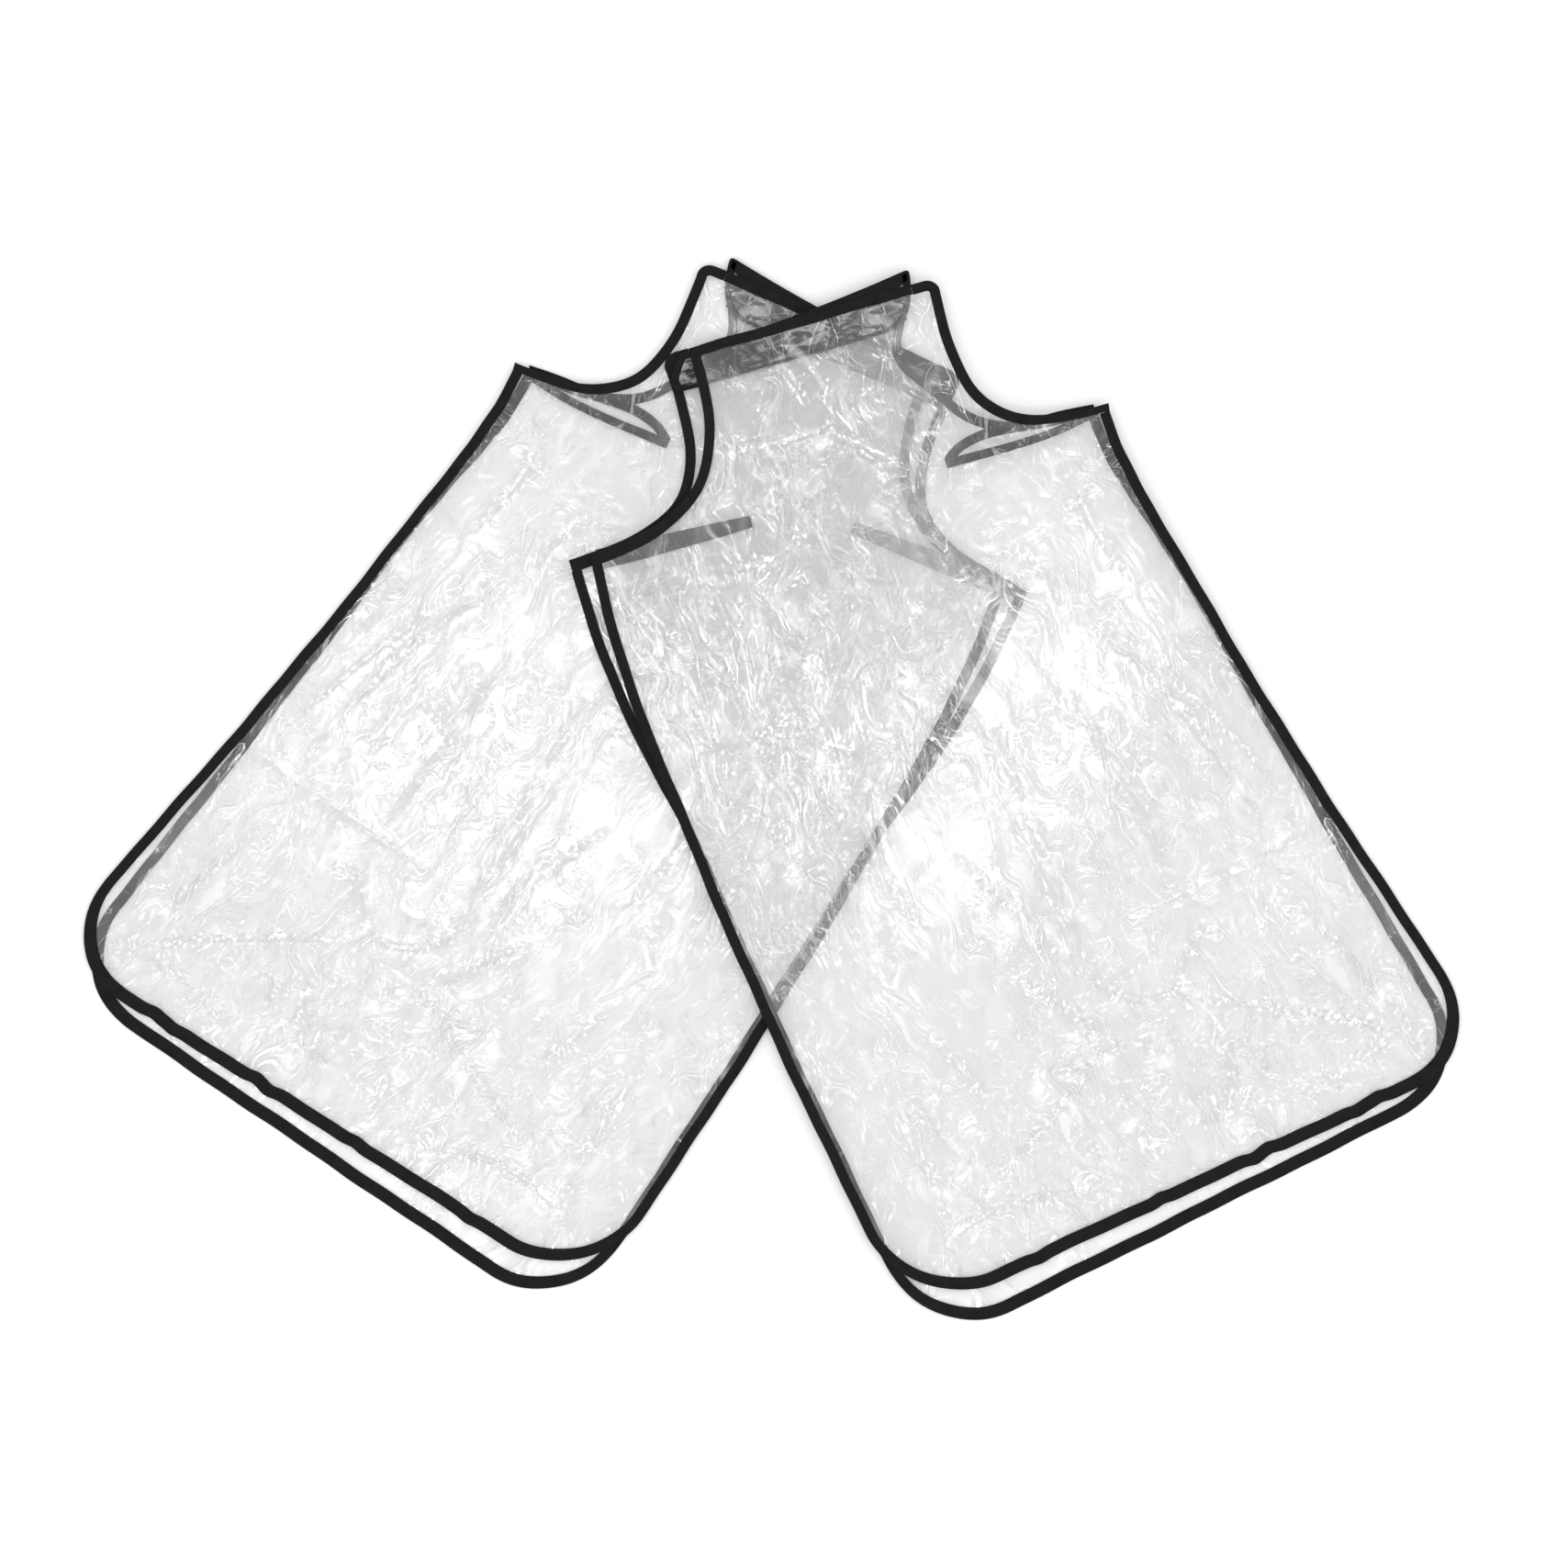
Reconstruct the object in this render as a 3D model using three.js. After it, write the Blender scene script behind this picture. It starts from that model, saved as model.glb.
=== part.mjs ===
// A pair of clear vinyl salon capes, laid flat and crossed. Each cape is a tabard: a back panel and a front
// panel of film with bound edges, a folded collar band that closes with hook and loop tape, and a tape strap
// under each arm. The upper cape is the mirror image of the lower one and drapes over it down to the table.
import * as THREE from "three";

// Film and bound edges (mm).
const FILM = 0.6;
const CLEARANCE = 0.3; // between any two neighbouring solids
const BINDING_WIDTH = 12;
const BINDING_WALL = 0.5;
const BINDING_GRIP = 5; // how far the film reaches into the folded binding
const BINDING_HEIGHT = FILM + 2 * CLEARANCE + 2 * BINDING_WALL;

const OVERHANG = BINDING_WIDTH - BINDING_GRIP; // the binding stands this far outside the film
// A binding stops this short of the one that crosses its end.
const CORNER_SETBACK = BINDING_GRIP + 5 * CLEARANCE;

// Flat pattern of a panel (mm): p runs across from its centre line, q runs down from the neck edge.
const NECK_TOP = 4;
const NECK_HALF = 143;
const UNDERARM_HALF = { front: 305, back: 311 };
const UNDERARM_DROP = 200;
// An armhole is one cubic curve, straight down at the neck end and nearly level at the underarm corner.
const ARMHOLE = {
  front: { drop: 134, lean: 7, reach: 143, rise: 4 },
  back: { drop: 156, lean: 6, reach: 154, rise: 5 },
};
const HEM_HALF = { front: 368, back: 353 };
const LENGTH = { front: 1099, back: 1131 };
const CORNER_RADIUS = 98;

// How the panels lie: the skirt swings away from the bodice, and front and back lie a little out of line.
const SWING_DEGREES = 10.5;
const SWING_START = 190;
const SWING_END = 400;
const BODICE_OFFSET = -5;
const BODICE_SLIP = {
  front: { amount: 16, from: 0, to: 300 }, // towards the collar's open end, eased out over a run
  back: { amount: -15, from: 250, to: 500 },
};
const BACK_TUCK = { amount: 30, at: 72, span: 48 }; // the back is drawn in beside the collar's open end
const SKIRT_DRIFT = { front: 28, back: 15, from: 500 }; // towards the swung side at the hem, as a square
const HEM_SLANT = { front: 11, back: 0, from: 800 }; // the hem hangs lower on the swung side

// Collar band, straps and tapes (mm).
const COLLAR_LEFT = -166;
const COLLAR_RIGHT = 137;
const COLLAR_DROP = 43; // lower edge
const COLLAR_RISE = { left: 1, right: 21 }; // upper edge, proud of the neck edge at the open end
const COLLAR_SLANT = 9; // the open end's lower corner lies this far in
const COLLAR_END_RADIUS = 16;
const BAND_THICKNESS = 1.2;
const TAPE_THICKNESS = 1;
const TAPE_LENGTH = 40;
const TAPE_INSET = 8; // tape edges from the band's end and long edges
const STRAP_WIDTH = 12;
const STRAP_REACH = 181; // from the underarm corner to the strap's fold
const STRAP_DROP = { corner: 190, fold: 208 };
const STRAP_SPREAD = 15; // the two arms lie this far apart beside the corner

// How the capes lie on the table: each tilt turns the neck edge, and the lower cape is the mirrored one.
const UPPER = { name: "upper", mirror: 1, tilt: 16, neck: [0, 0] };
const LOWER = { name: "lower", mirror: -1, tilt: -23.7, neck: [29, 0] };
const DRAPE_HOLD = 120; // the upper cape stays level this far past the lower one
const DRAPE_RUN = 300; // and then sinks to the table over this run

// Heights of the layers above the table (mm), from the back panel's binding upwards.
const FILM_LOW = BINDING_WALL + CLEARANCE;
const COLLAR_BACK_LOW = BINDING_HEIGHT + CLEARANCE;
const LOOP_LOW = COLLAR_BACK_LOW + BAND_THICKNESS + CLEARANCE;
const HOOK_LOW = LOOP_LOW + TAPE_THICKNESS + CLEARANCE;
const COLLAR_FRONT_LOW = HOOK_LOW + TAPE_THICKNESS + CLEARANCE;
// Front panel above back panel, where air parts them.
const PANEL_GAP = COLLAR_FRONT_LOW + BAND_THICKNESS + CLEARANCE;
const HEM_GAP = BINDING_HEIGHT + 0.8; // and where the edges lie on each other
const GAP_CLOSES_FROM = 250;
const GAP_CLOSES_TO = 520;
const HEM_CLOSES_OVER = 370;
const CAPE_STACK = PANEL_GAP + BINDING_HEIGHT + 2 * CLEARANCE;

// Steps of the meshes.
const ACROSS = [-1, -0.94, -0.8, -0.55, -0.28, 0, 0.28, 0.55, 0.8, 0.94, 1];
const ARMHOLE_STEPS = 12;
const SIDE_STEPS = 12;
const CORNER_STEPS = 4;
const COLLAR_STEPS = 8;
const STRAP_STEPS = 5;
const FOLD_STEPS = 4;

const VINYL = { color: 0xe9edee, roughness: 0.12, transparent: true, opacity: 0.35 };
const BINDING_TAPE = { color: 0x17181a, roughness: 0.75, metalness: 0 };
const COLLAR_CLOTH = { color: 0x0e0f11, roughness: 0.8, metalness: 0 };
const STRAP_TAPE = { color: 0x1d1e21, roughness: 0.78, metalness: 0 };
const FASTENER_TAPE = { color: 0x101012, roughness: 0.95, metalness: 0 };

const clamp01 = (v) => Math.min(1, Math.max(0, v));
const smooth = (v) => clamp01(v) ** 2 * (3 - 2 * clamp01(v));
const radians = THREE.MathUtils.degToRad;

// The centre line of a panel in the bodice's own frame: straight, an arc, then straight down the swung skirt.
// Gives [sideways, down, angle] at the distance q along it.
function centreLine(q) {
  const swing = radians(SWING_DEGREES);
  const radius = (SWING_END - SWING_START) / swing;
  const angle = swing * clamp01((q - SWING_START) / (SWING_END - SWING_START));
  const straight = Math.min(q, SWING_START);
  const after = Math.max(0, q - SWING_END);
  return [
    radius * (1 - Math.cos(angle)) + after * Math.sin(swing),
    straight + radius * Math.sin(angle) + after * Math.cos(swing),
    angle,
  ];
}

// How far a panel lies sideways of the centre line at q.
function slip(layer, q) {
  if (!(layer in BODICE_SLIP)) return BODICE_OFFSET;
  const { amount, from, to } = BODICE_SLIP[layer];
  const skirt = Math.max(0, (q - SKIRT_DRIFT.from) / (LENGTH[layer] - SKIRT_DRIFT.from));
  const bodice = amount * (1 - smooth((q - from) / (to - from)));
  return BODICE_OFFSET + bodice + SKIRT_DRIFT[layer] * skirt ** 2;
}

// How far the back panel is drawn in at the place p, q.
function tuck(layer, p, q) {
  if (layer !== "back") return 0;
  const nearness = Math.exp(-(((q - BACK_TUCK.at) / BACK_TUCK.span) ** 2));
  return BACK_TUCK.amount * clamp01(p / NECK_HALF) * nearness;
}

// How much lower the swung side of a panel's hem hangs, at the place p, q.
function slant(layer, p, q) {
  if (!(layer in LENGTH)) return 0;
  const nearness = smooth((q - HEM_SLANT.from) / (LENGTH[layer] - HEM_SLANT.from));
  return (HEM_SLANT[layer] * p * nearness) / HEM_HALF[layer];
}

// A point of a cape's flat pattern in the plane of the table.
function onTable(cape, layer, p, q) {
  const [side, down, angle] = centreLine(q + slant(layer, p, q));
  const s = side + p * Math.cos(angle) + slip(layer, q) - tuck(layer, p, q);
  const t = down - p * Math.sin(angle);
  const turn = radians(cape.tilt);
  const x = cape.mirror * s;
  return [
    cape.neck[0] + x * Math.cos(turn) + t * Math.sin(turn),
    cape.neck[1] + x * Math.sin(turn) - t * Math.cos(turn),
  ];
}

// A place at the distance ahead of a towards b, or before a when the distance is negative.
function towards([ap, aq], [bp, bq], distance) {
  const share = distance / Math.hypot(bp - ap, bq - aq);
  return [ap + share * (bp - ap), aq + share * (bq - aq)];
}

// Half the width of a panel at each station down its edge, as [p, q], from the neck corner to the end of the
// hem corner's arc. The underarm corner is one of them.
function armholeEdge(layer) {
  const { drop, lean, reach, rise } = ARMHOLE[layer];
  const corner = UNDERARM_HALF[layer];
  const curve = new THREE.CubicBezierCurve(
    new THREE.Vector2(NECK_HALF, NECK_TOP),
    new THREE.Vector2(NECK_HALF - lean, drop),
    new THREE.Vector2(corner - reach, UNDERARM_DROP - rise),
    new THREE.Vector2(corner, UNDERARM_DROP),
  );
  return curve.getPoints(ARMHOLE_STEPS).map((v) => [v.x, v.y]);
}

function skirtEdge(layer) {
  const hem = LENGTH[layer];
  const corner = UNDERARM_HALF[layer];
  const flare = Math.atan2(HEM_HALF[layer] - corner, hem - UNDERARM_DROP);
  // The arc's centre lies one radius above the hem and one radius inside the flared side.
  const centreQ = hem - CORNER_RADIUS;
  const sideP = corner + (centreQ - UNDERARM_DROP) * Math.tan(flare);
  const centreP = sideP - CORNER_RADIUS / Math.cos(flare);
  const arc = [];
  for (let i = 0; i <= CORNER_STEPS; i++) {
    const a = THREE.MathUtils.lerp(-flare, Math.PI / 2, i / CORNER_STEPS);
    arc.push([centreP + CORNER_RADIUS * Math.cos(a), centreQ + CORNER_RADIUS * Math.sin(a)]);
  }
  // The skirt's binding starts just below the underarm corner, clear of the armhole's, at its own station.
  const side = [towards([corner, UNDERARM_DROP], arc[0], CORNER_SETBACK)];
  for (let i = 1; i < SIDE_STEPS; i++) {
    const share = i / SIDE_STEPS;
    side.push([
      THREE.MathUtils.lerp(corner, arc[0][0], share),
      THREE.MathUtils.lerp(UNDERARM_DROP, arc[0][1], share),
    ]);
  }
  return [...side, ...arc];
}

const panelEdge = (layer) => [...armholeEdge(layer), ...skirtEdge(layer)];

// Height of the front panel above the back one: open in the bodice and the middle, closed at sides and hem.
function panelGap(p, q) {
  const across = clamp01(Math.abs(p) / HEM_HALF.front) ** 2;
  const hem = smooth((q - (LENGTH.front - HEM_CLOSES_OVER)) / HEM_CLOSES_OVER);
  const edge = 1 - (1 - across) * (1 - hem);
  const skirt = smooth((q - GAP_CLOSES_FROM) / (GAP_CLOSES_TO - GAP_CLOSES_FROM));
  return PANEL_GAP - (PANEL_GAP - HEM_GAP) * skirt * edge;
}

// The lower cape's outline on the table, which the upper cape lies over.
const lowerOutline = [
  ...panelEdge("front").map(([p, q]) => onTable(LOWER, "front", p, q)),
  ...panelEdge("front").reverse().map(([p, q]) => onTable(LOWER, "front", -p, q)),
];

function distanceOutsideLower(x, y) {
  let nearest = Infinity;
  let inside = false;
  lowerOutline.forEach(([ax, ay], i) => {
    const [bx, by] = lowerOutline[(i + 1) % lowerOutline.length];
    const ahead = (x - ax) * (bx - ax) + (y - ay) * (by - ay);
    const share = clamp01(ahead / ((bx - ax) ** 2 + (by - ay) ** 2));
    nearest = Math.min(nearest, Math.hypot(x - ax - share * (bx - ax), y - ay - share * (by - ay)));
    if (ay > y !== by > y && x < ax + ((y - ay) * (bx - ax)) / (by - ay)) inside = !inside;
  });
  return inside ? 0 : nearest;
}

// Height of the table or of the lower cape under a point of the given cape.
function restHeight(cape, x, y) {
  if (cape === LOWER) return 0;
  const fall = clamp01((distanceOutsideLower(x, y) - DRAPE_HOLD) / DRAPE_RUN);
  return CAPE_STACK * (0.5 + 0.5 * Math.cos(Math.PI * fall));
}

// A vertex: pattern place, height within its layer, and the layer it belongs to.
function vertex(cape, layer, p, q, z) {
  const [x, y] = onTable(cape, layer, p, q);
  return [x, y, z + (layer === "front" ? panelGap(p, q) : 0) + restHeight(cape, x, y)];
}

// Makes a named mesh of one closed surface, with its faces turned outwards.
function closedMesh(name, finish, points, faces) {
  const corner = (i) => new THREE.Vector3(...points[i]);
  const volume = faces.reduce((sum, [a, b, c]) => sum + corner(a).dot(corner(b).cross(corner(c))), 0);
  const turned = volume < 0 ? faces.map(([a, b, c]) => [a, c, b]) : faces;
  const geometry = new THREE.BufferGeometry();
  geometry.setAttribute("position", new THREE.Float32BufferAttribute(points.flat(), 3));
  geometry.setIndex(turned.flat());
  geometry.computeVertexNormals();
  const mesh = new THREE.Mesh(geometry, new THREE.MeshStandardMaterial(finish));
  mesh.name = name;
  return mesh;
}

// A plate over a grid of places, rows[i][j] = [p, q], from height low to height low + thickness.
function plate(name, finish, cape, layer, rows, low, thickness) {
  const columns = rows[0].length;
  const top = rows.length * columns;
  const flat = rows.flat();
  const heights = [low, low + thickness];
  const points = heights.flatMap((z) => flat.map(([p, q]) => vertex(cape, layer, p, q, z)));
  const faces = [];
  const quad = (a, b, c, d) => faces.push([a, b, c], [a, c, d]);
  for (let i = 0; i + 1 < rows.length; i++)
    for (let j = 0; j + 1 < columns; j++) {
      const a = i * columns + j;
      quad(a, a + 1, a + columns + 1, a + columns);
      quad(top + a, top + a + columns, top + a + columns + 1, top + a + 1);
    }
  const rim = [];
  for (let j = 0; j + 1 < columns; j++) rim.push(j);
  for (let i = 0; i + 1 < rows.length; i++) rim.push(i * columns + columns - 1);
  for (let j = columns - 1; j > 0; j--) rim.push(top - columns + j);
  for (let i = rows.length - 1; i > 0; i--) rim.push(i * columns);
  rim.forEach((a, k) => {
    const b = rim[(k + 1) % rim.length];
    quad(a, top + a, top + b, b);
  });
  return closedMesh(name, finish, points, faces);
}

// A closed section carried along stations. Each station is a list of points, all of the same length.
function sweep(name, finish, stations, section) {
  const size = section.length;
  const faces = [];
  for (let i = 0; i + 1 < stations.length; i++)
    for (let k = 0; k < size; k++) {
      const a = i * size + k;
      const b = i * size + ((k + 1) % size);
      faces.push([a, b, b + size], [a, b + size, a + size]);
    }
  const end = (stations.length - 1) * size;
  const outline = section.map(([u, v]) => new THREE.Vector2(u, v));
  const cap = THREE.ShapeUtils.triangulateShape(outline, []);
  const turn = THREE.ShapeUtils.area(outline) > 0;
  cap.forEach(([a, b, c]) => {
    faces.push(turn ? [a, c, b] : [a, b, c]);
    faces.push(turn ? [end + a, end + b, end + c] : [end + a, end + c, end + b]);
  });
  return closedMesh(name, finish, stations.flat(), faces);
}

// The folded binding's section: u runs from the film's edge inwards, v runs up from the binding's underside.
const BINDING_SECTION = [
  [BINDING_GRIP - BINDING_WIDTH, 0],
  [BINDING_GRIP, 0],
  [BINDING_GRIP, BINDING_WALL],
  [-CLEARANCE, BINDING_WALL],
  [-CLEARANCE, BINDING_HEIGHT - BINDING_WALL],
  [BINDING_GRIP, BINDING_HEIGHT - BINDING_WALL],
  [BINDING_GRIP, BINDING_HEIGHT],
  [BINDING_GRIP - BINDING_WIDTH, BINDING_HEIGHT],
];

// A binding along a run of [p, q] places of the panel's edge. The film lies on the side that inward points to.
function binding(name, cape, layer, run, inward) {
  const stations = run.map(([p, q], i) => {
    const before = run[Math.max(0, i - 1)];
    const after = run[Math.min(run.length - 1, i + 1)];
    const ahead = new THREE.Vector2(after[0] - p, after[1] - q).normalize();
    const behind = new THREE.Vector2(p - before[0], q - before[1]).normalize();
    const along = ahead.clone().add(behind).normalize();
    const straight = i === 0 ? ahead : behind;
    const stretch = 1 / Math.max(0.5, along.dot(straight));
    return BINDING_SECTION.map(([u, v]) =>
      vertex(cape, layer, p - inward * along.y * u * stretch, q + inward * along.x * u * stretch, v),
    );
  });
  return sweep(name, BINDING_TAPE, stations, BINDING_SECTION);
}

// The sign of p on each side as the pair lies; the mirrored cape swaps them.
const sides = (cape) => (cape.mirror > 0 ? { left: -1, right: 1 } : { left: 1, right: -1 });

function panelParts(cape, layer) {
  const start = `${cape.name}_${layer}`;
  const edge = panelEdge(layer);
  const hem = LENGTH[layer];
  // Rows follow the edge stations at the sides and are evenly spaced down the middle.
  const rows = edge.map(([half, q], i) => {
    const middle = THREE.MathUtils.lerp(NECK_TOP, hem, i / (edge.length - 1));
    return ACROSS.map((f) => [half * f, middle + (q - middle) * f * f]);
  });
  const parts = [plate(`${start}_panel`, VINYL, cape, layer, rows, FILM_LOW, FILM)];

  const neck = rows[0].slice(1, -1);
  const neckEnd = NECK_HALF - CORNER_SETBACK;
  const neckRun = [[-neckEnd, NECK_TOP], ...neck, [neckEnd, NECK_TOP]];
  parts.push(binding(`${start}_neck_binding`, cape, layer, neckRun, 1));

  const armhole = armholeEdge(layer);
  const bound = [towards(armhole[0], armhole[1], -OVERHANG), ...armhole];
  bound.push(towards(armhole.at(-1), armhole.at(-2), -OVERHANG));
  const skirt = skirtEdge(layer);
  const left = skirt.map(([p, q]) => [-p, q]);
  const hemMiddle = rows.at(-1).slice(1, -1).reverse();
  for (const [side, sign] of Object.entries(sides(cape))) {
    const run = bound.map(([p, q]) => [sign * p, q]);
    parts.push(binding(`${start}_${side}_armhole_binding`, cape, layer, run, sign));
  }
  const skirtRun = [...skirt, ...hemMiddle, ...left.reverse()];
  parts.push(binding(`${start}_skirt_binding`, cape, layer, skirtRun, 1));
  return parts;
}

// Rows across the collar band, with both ends rounded by an arc of the given radius.
function bandRows(from, to, radius) {
  const places = [];
  const arc = [0, 0.15, 0.5, 1];
  const roundOff = (a) => radius * (1 - Math.sqrt(1 - (1 - a) ** 2));
  arc.forEach((a) => places.push([from + a * radius, roundOff(a)]));
  for (let i = 1; i < COLLAR_STEPS; i++)
    places.push([THREE.MathUtils.lerp(from + radius, to - radius, i / COLLAR_STEPS), 0]);
  arc.reverse().forEach((a) => places.push([to - a * radius, roundOff(a)]));
  return places.map(([p, cut]) => {
    const share = (p - from) / (to - from);
    const top = cut - THREE.MathUtils.lerp(COLLAR_RISE.left, COLLAR_RISE.right, share ** 2);
    const bottom = COLLAR_DROP - cut;
    return [0, 0.5, 1].map((f) => [p - COLLAR_SLANT * f * share, THREE.MathUtils.lerp(top, bottom, f)]);
  });
}

function collarParts(cape) {
  const band = bandRows(COLLAR_LEFT, COLLAR_RIGHT, COLLAR_END_RADIUS);
  const tapeRight = COLLAR_RIGHT - COLLAR_SLANT - TAPE_INSET;
  const tape = [0, 0.5, 1].map((a) => {
    const p = tapeRight - TAPE_LENGTH * (1 - a);
    return [TAPE_INSET, COLLAR_DROP - TAPE_INSET].map((q) => [p, q]);
  });
  const start = `${cape.name}_collar`;
  return [
    plate(`${start}_back_band`, COLLAR_CLOTH, cape, "collar", band, COLLAR_BACK_LOW, BAND_THICKNESS),
    plate(`${start}_loop_tape`, FASTENER_TAPE, cape, "collar", tape, LOOP_LOW, TAPE_THICKNESS),
    plate(`${start}_hook_tape`, FASTENER_TAPE, cape, "collar", tape, HOOK_LOW, TAPE_THICKNESS),
    plate(`${start}_front_band`, COLLAR_CLOTH, cape, "collar", band, COLLAR_FRONT_LOW, BAND_THICKNESS),
  ];
}

// A strap is one tape folded in two. Its lower arm starts on the back panel's underarm corner, runs inwards,
// turns over at the fold and comes back up to the front panel's corner.
function strap(cape, side, sign) {
  const outer = UNDERARM_HALF.front - OVERHANG - BINDING_GRIP;
  const inner = outer - STRAP_REACH;
  const low = COLLAR_BACK_LOW;
  const high = COLLAR_FRONT_LOW;
  const turn = CLEARANCE / 2 + BAND_THICKNESS / 2;
  const foldMiddle = low + BAND_THICKNESS + CLEARANCE / 2;
  const line = [];
  const dropAt = (share, spread) => {
    const middle = THREE.MathUtils.lerp(STRAP_DROP.corner, STRAP_DROP.fold, share);
    return middle + spread * STRAP_SPREAD * (1 - share);
  };
  for (let i = 0; i <= STRAP_STEPS; i++) {
    const share = i / STRAP_STEPS;
    line.push([THREE.MathUtils.lerp(outer, inner, share), dropAt(share, 0), foldMiddle - turn, 0]);
  }
  for (let i = 1; i < FOLD_STEPS; i++) {
    const a = (Math.PI * i) / FOLD_STEPS;
    line.push([inner - turn * Math.sin(a), dropAt(1, 0), foldMiddle - turn * Math.cos(a), a]);
  }
  for (let i = STRAP_STEPS; i >= 0; i--) {
    const share = i / STRAP_STEPS;
    const z = foldMiddle + turn + (high - low - BAND_THICKNESS - CLEARANCE) * smooth(1 - share);
    line.push([THREE.MathUtils.lerp(outer, inner, share), dropAt(share, 1), z, Math.PI]);
  }
  const wide = STRAP_WIDTH / 2;
  const half = BAND_THICKNESS / 2;
  const section = [[-wide, -half], [wide, -half], [wide, half], [-wide, half]];
  const stations = line.map(([p, q, z, a]) =>
    section.map(([across, out]) =>
      vertex(cape, "strap", sign * (p + out * Math.sin(a)), q + across, z + out * Math.cos(a)),
    ),
  );
  return sweep(`${cape.name}_${side}_side_strap`, STRAP_TAPE, stations, section);
}

function capeGroup(cape) {
  const group = new THREE.Group();
  group.add(...panelParts(cape, "back"), ...panelParts(cape, "front"), ...collarParts(cape));
  for (const [side, sign] of Object.entries(sides(cape))) group.add(strap(cape, side, sign));
  return group;
}

// The pair stands centred on the origin, with its underside on z = 0.
const pair = new THREE.Group();
pair.add(capeGroup(LOWER), capeGroup(UPPER));
const middle = new THREE.Box3().setFromObject(pair, true).getCenter(new THREE.Vector3());
pair.position.set(-middle.x, -middle.y, 0);

const part = new THREE.Group();
part.add(pair);
export default part;
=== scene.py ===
"""A pair of clear vinyl salon capes, laid flat and crossed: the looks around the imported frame."""

import math

import bpy
import numpy as np
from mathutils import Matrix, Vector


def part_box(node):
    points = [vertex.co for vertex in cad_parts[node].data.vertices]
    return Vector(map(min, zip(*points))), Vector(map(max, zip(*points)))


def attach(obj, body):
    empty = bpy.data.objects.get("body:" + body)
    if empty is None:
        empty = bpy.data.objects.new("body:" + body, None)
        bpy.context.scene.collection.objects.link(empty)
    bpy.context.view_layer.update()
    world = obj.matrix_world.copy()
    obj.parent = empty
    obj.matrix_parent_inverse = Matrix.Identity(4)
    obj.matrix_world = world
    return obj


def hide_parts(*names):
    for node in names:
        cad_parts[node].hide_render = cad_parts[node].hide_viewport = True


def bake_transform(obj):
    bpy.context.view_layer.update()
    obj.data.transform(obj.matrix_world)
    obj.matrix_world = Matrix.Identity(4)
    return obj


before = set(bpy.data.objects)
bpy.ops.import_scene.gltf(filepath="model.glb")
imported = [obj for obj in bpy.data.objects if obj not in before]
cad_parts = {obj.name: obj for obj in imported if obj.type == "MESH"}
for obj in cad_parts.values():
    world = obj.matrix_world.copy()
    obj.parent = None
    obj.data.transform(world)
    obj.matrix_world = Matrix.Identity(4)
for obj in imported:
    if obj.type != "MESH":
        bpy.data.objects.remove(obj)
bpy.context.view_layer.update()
scene = bpy.context.scene


# ---------------------------------------------------------------------------------------------------------
# The cut. Both panels of a cape are cut from film to one pattern: p runs across from the centre line and q
# runs down from the neck, in millimetres. The bodice is straight, the skirt is laid swung to one side, and
# the lower cape is the mirror image of the upper one, turned the other way.
MM = 0.001
NECK_TOP, NECK_HALF, UNDERARM_DROP = 4.0, 143.0, 200.0
UNDERARM_HALF = {"front": 305.0, "back": 311.0}
ARMHOLE = {"front": (134.0, 7.0, 143.0, 4.0), "back": (156.0, 6.0, 154.0, 5.0)}  # drop, lean, reach, rise
HEM_HALF = {"front": 368.0, "back": 353.0}
LENGTH = {"front": 1099.0, "back": 1131.0}
CORNER_RADIUS = 98.0
SWING, SWING_START, SWING_END = math.radians(10.5), 190.0, 400.0
BODICE_OFFSET = -5.0
BODICE_SLIP = {"front": (16.0, 0.0, 300.0), "back": (-15.0, 250.0, 500.0)}  # amount, from, to
BACK_TUCK = (30.0, 72.0, 48.0)  # amount, at, span
SKIRT_DRIFT, SKIRT_DRIFT_FROM = {"front": 28.0, "back": 15.0}, 500.0
HEM_SLANT, HEM_SLANT_FROM = {"front": 11.0, "back": 0.0}, 800.0
EDGE_STEP = 5.0  # between the stations along a cut edge
CAPES = {  # body of the back, body of the front, mirror, tilt of the neck, place of the neck
    "lower": ("lower_cape", "lower_cape", -1.0, math.radians(-23.7), np.array((29.0, 0.0))),
    "upper": ("upper_cape", "upper_front", 1.0, math.radians(16.0), np.array((0.0, 0.0))),
}


def smooth(x):
    """Rises from 0 to 1 as 3x^2 - 2x^3."""
    x = np.clip(x, 0, 1)
    return x * x * (3 - 2 * x)


def slip(layer, q):
    """Sideways place of the centre line: the bodice's slip eases out, and the skirt drifts as a square."""
    if layer not in BODICE_SLIP:
        return BODICE_OFFSET
    amount, start, end = BODICE_SLIP[layer]
    skirt = np.maximum(0, (q - SKIRT_DRIFT_FROM) / (LENGTH[layer] - SKIRT_DRIFT_FROM))
    return BODICE_OFFSET + amount * (1 - smooth((q - start) / (end - start))) + SKIRT_DRIFT[layer] * skirt**2


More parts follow.
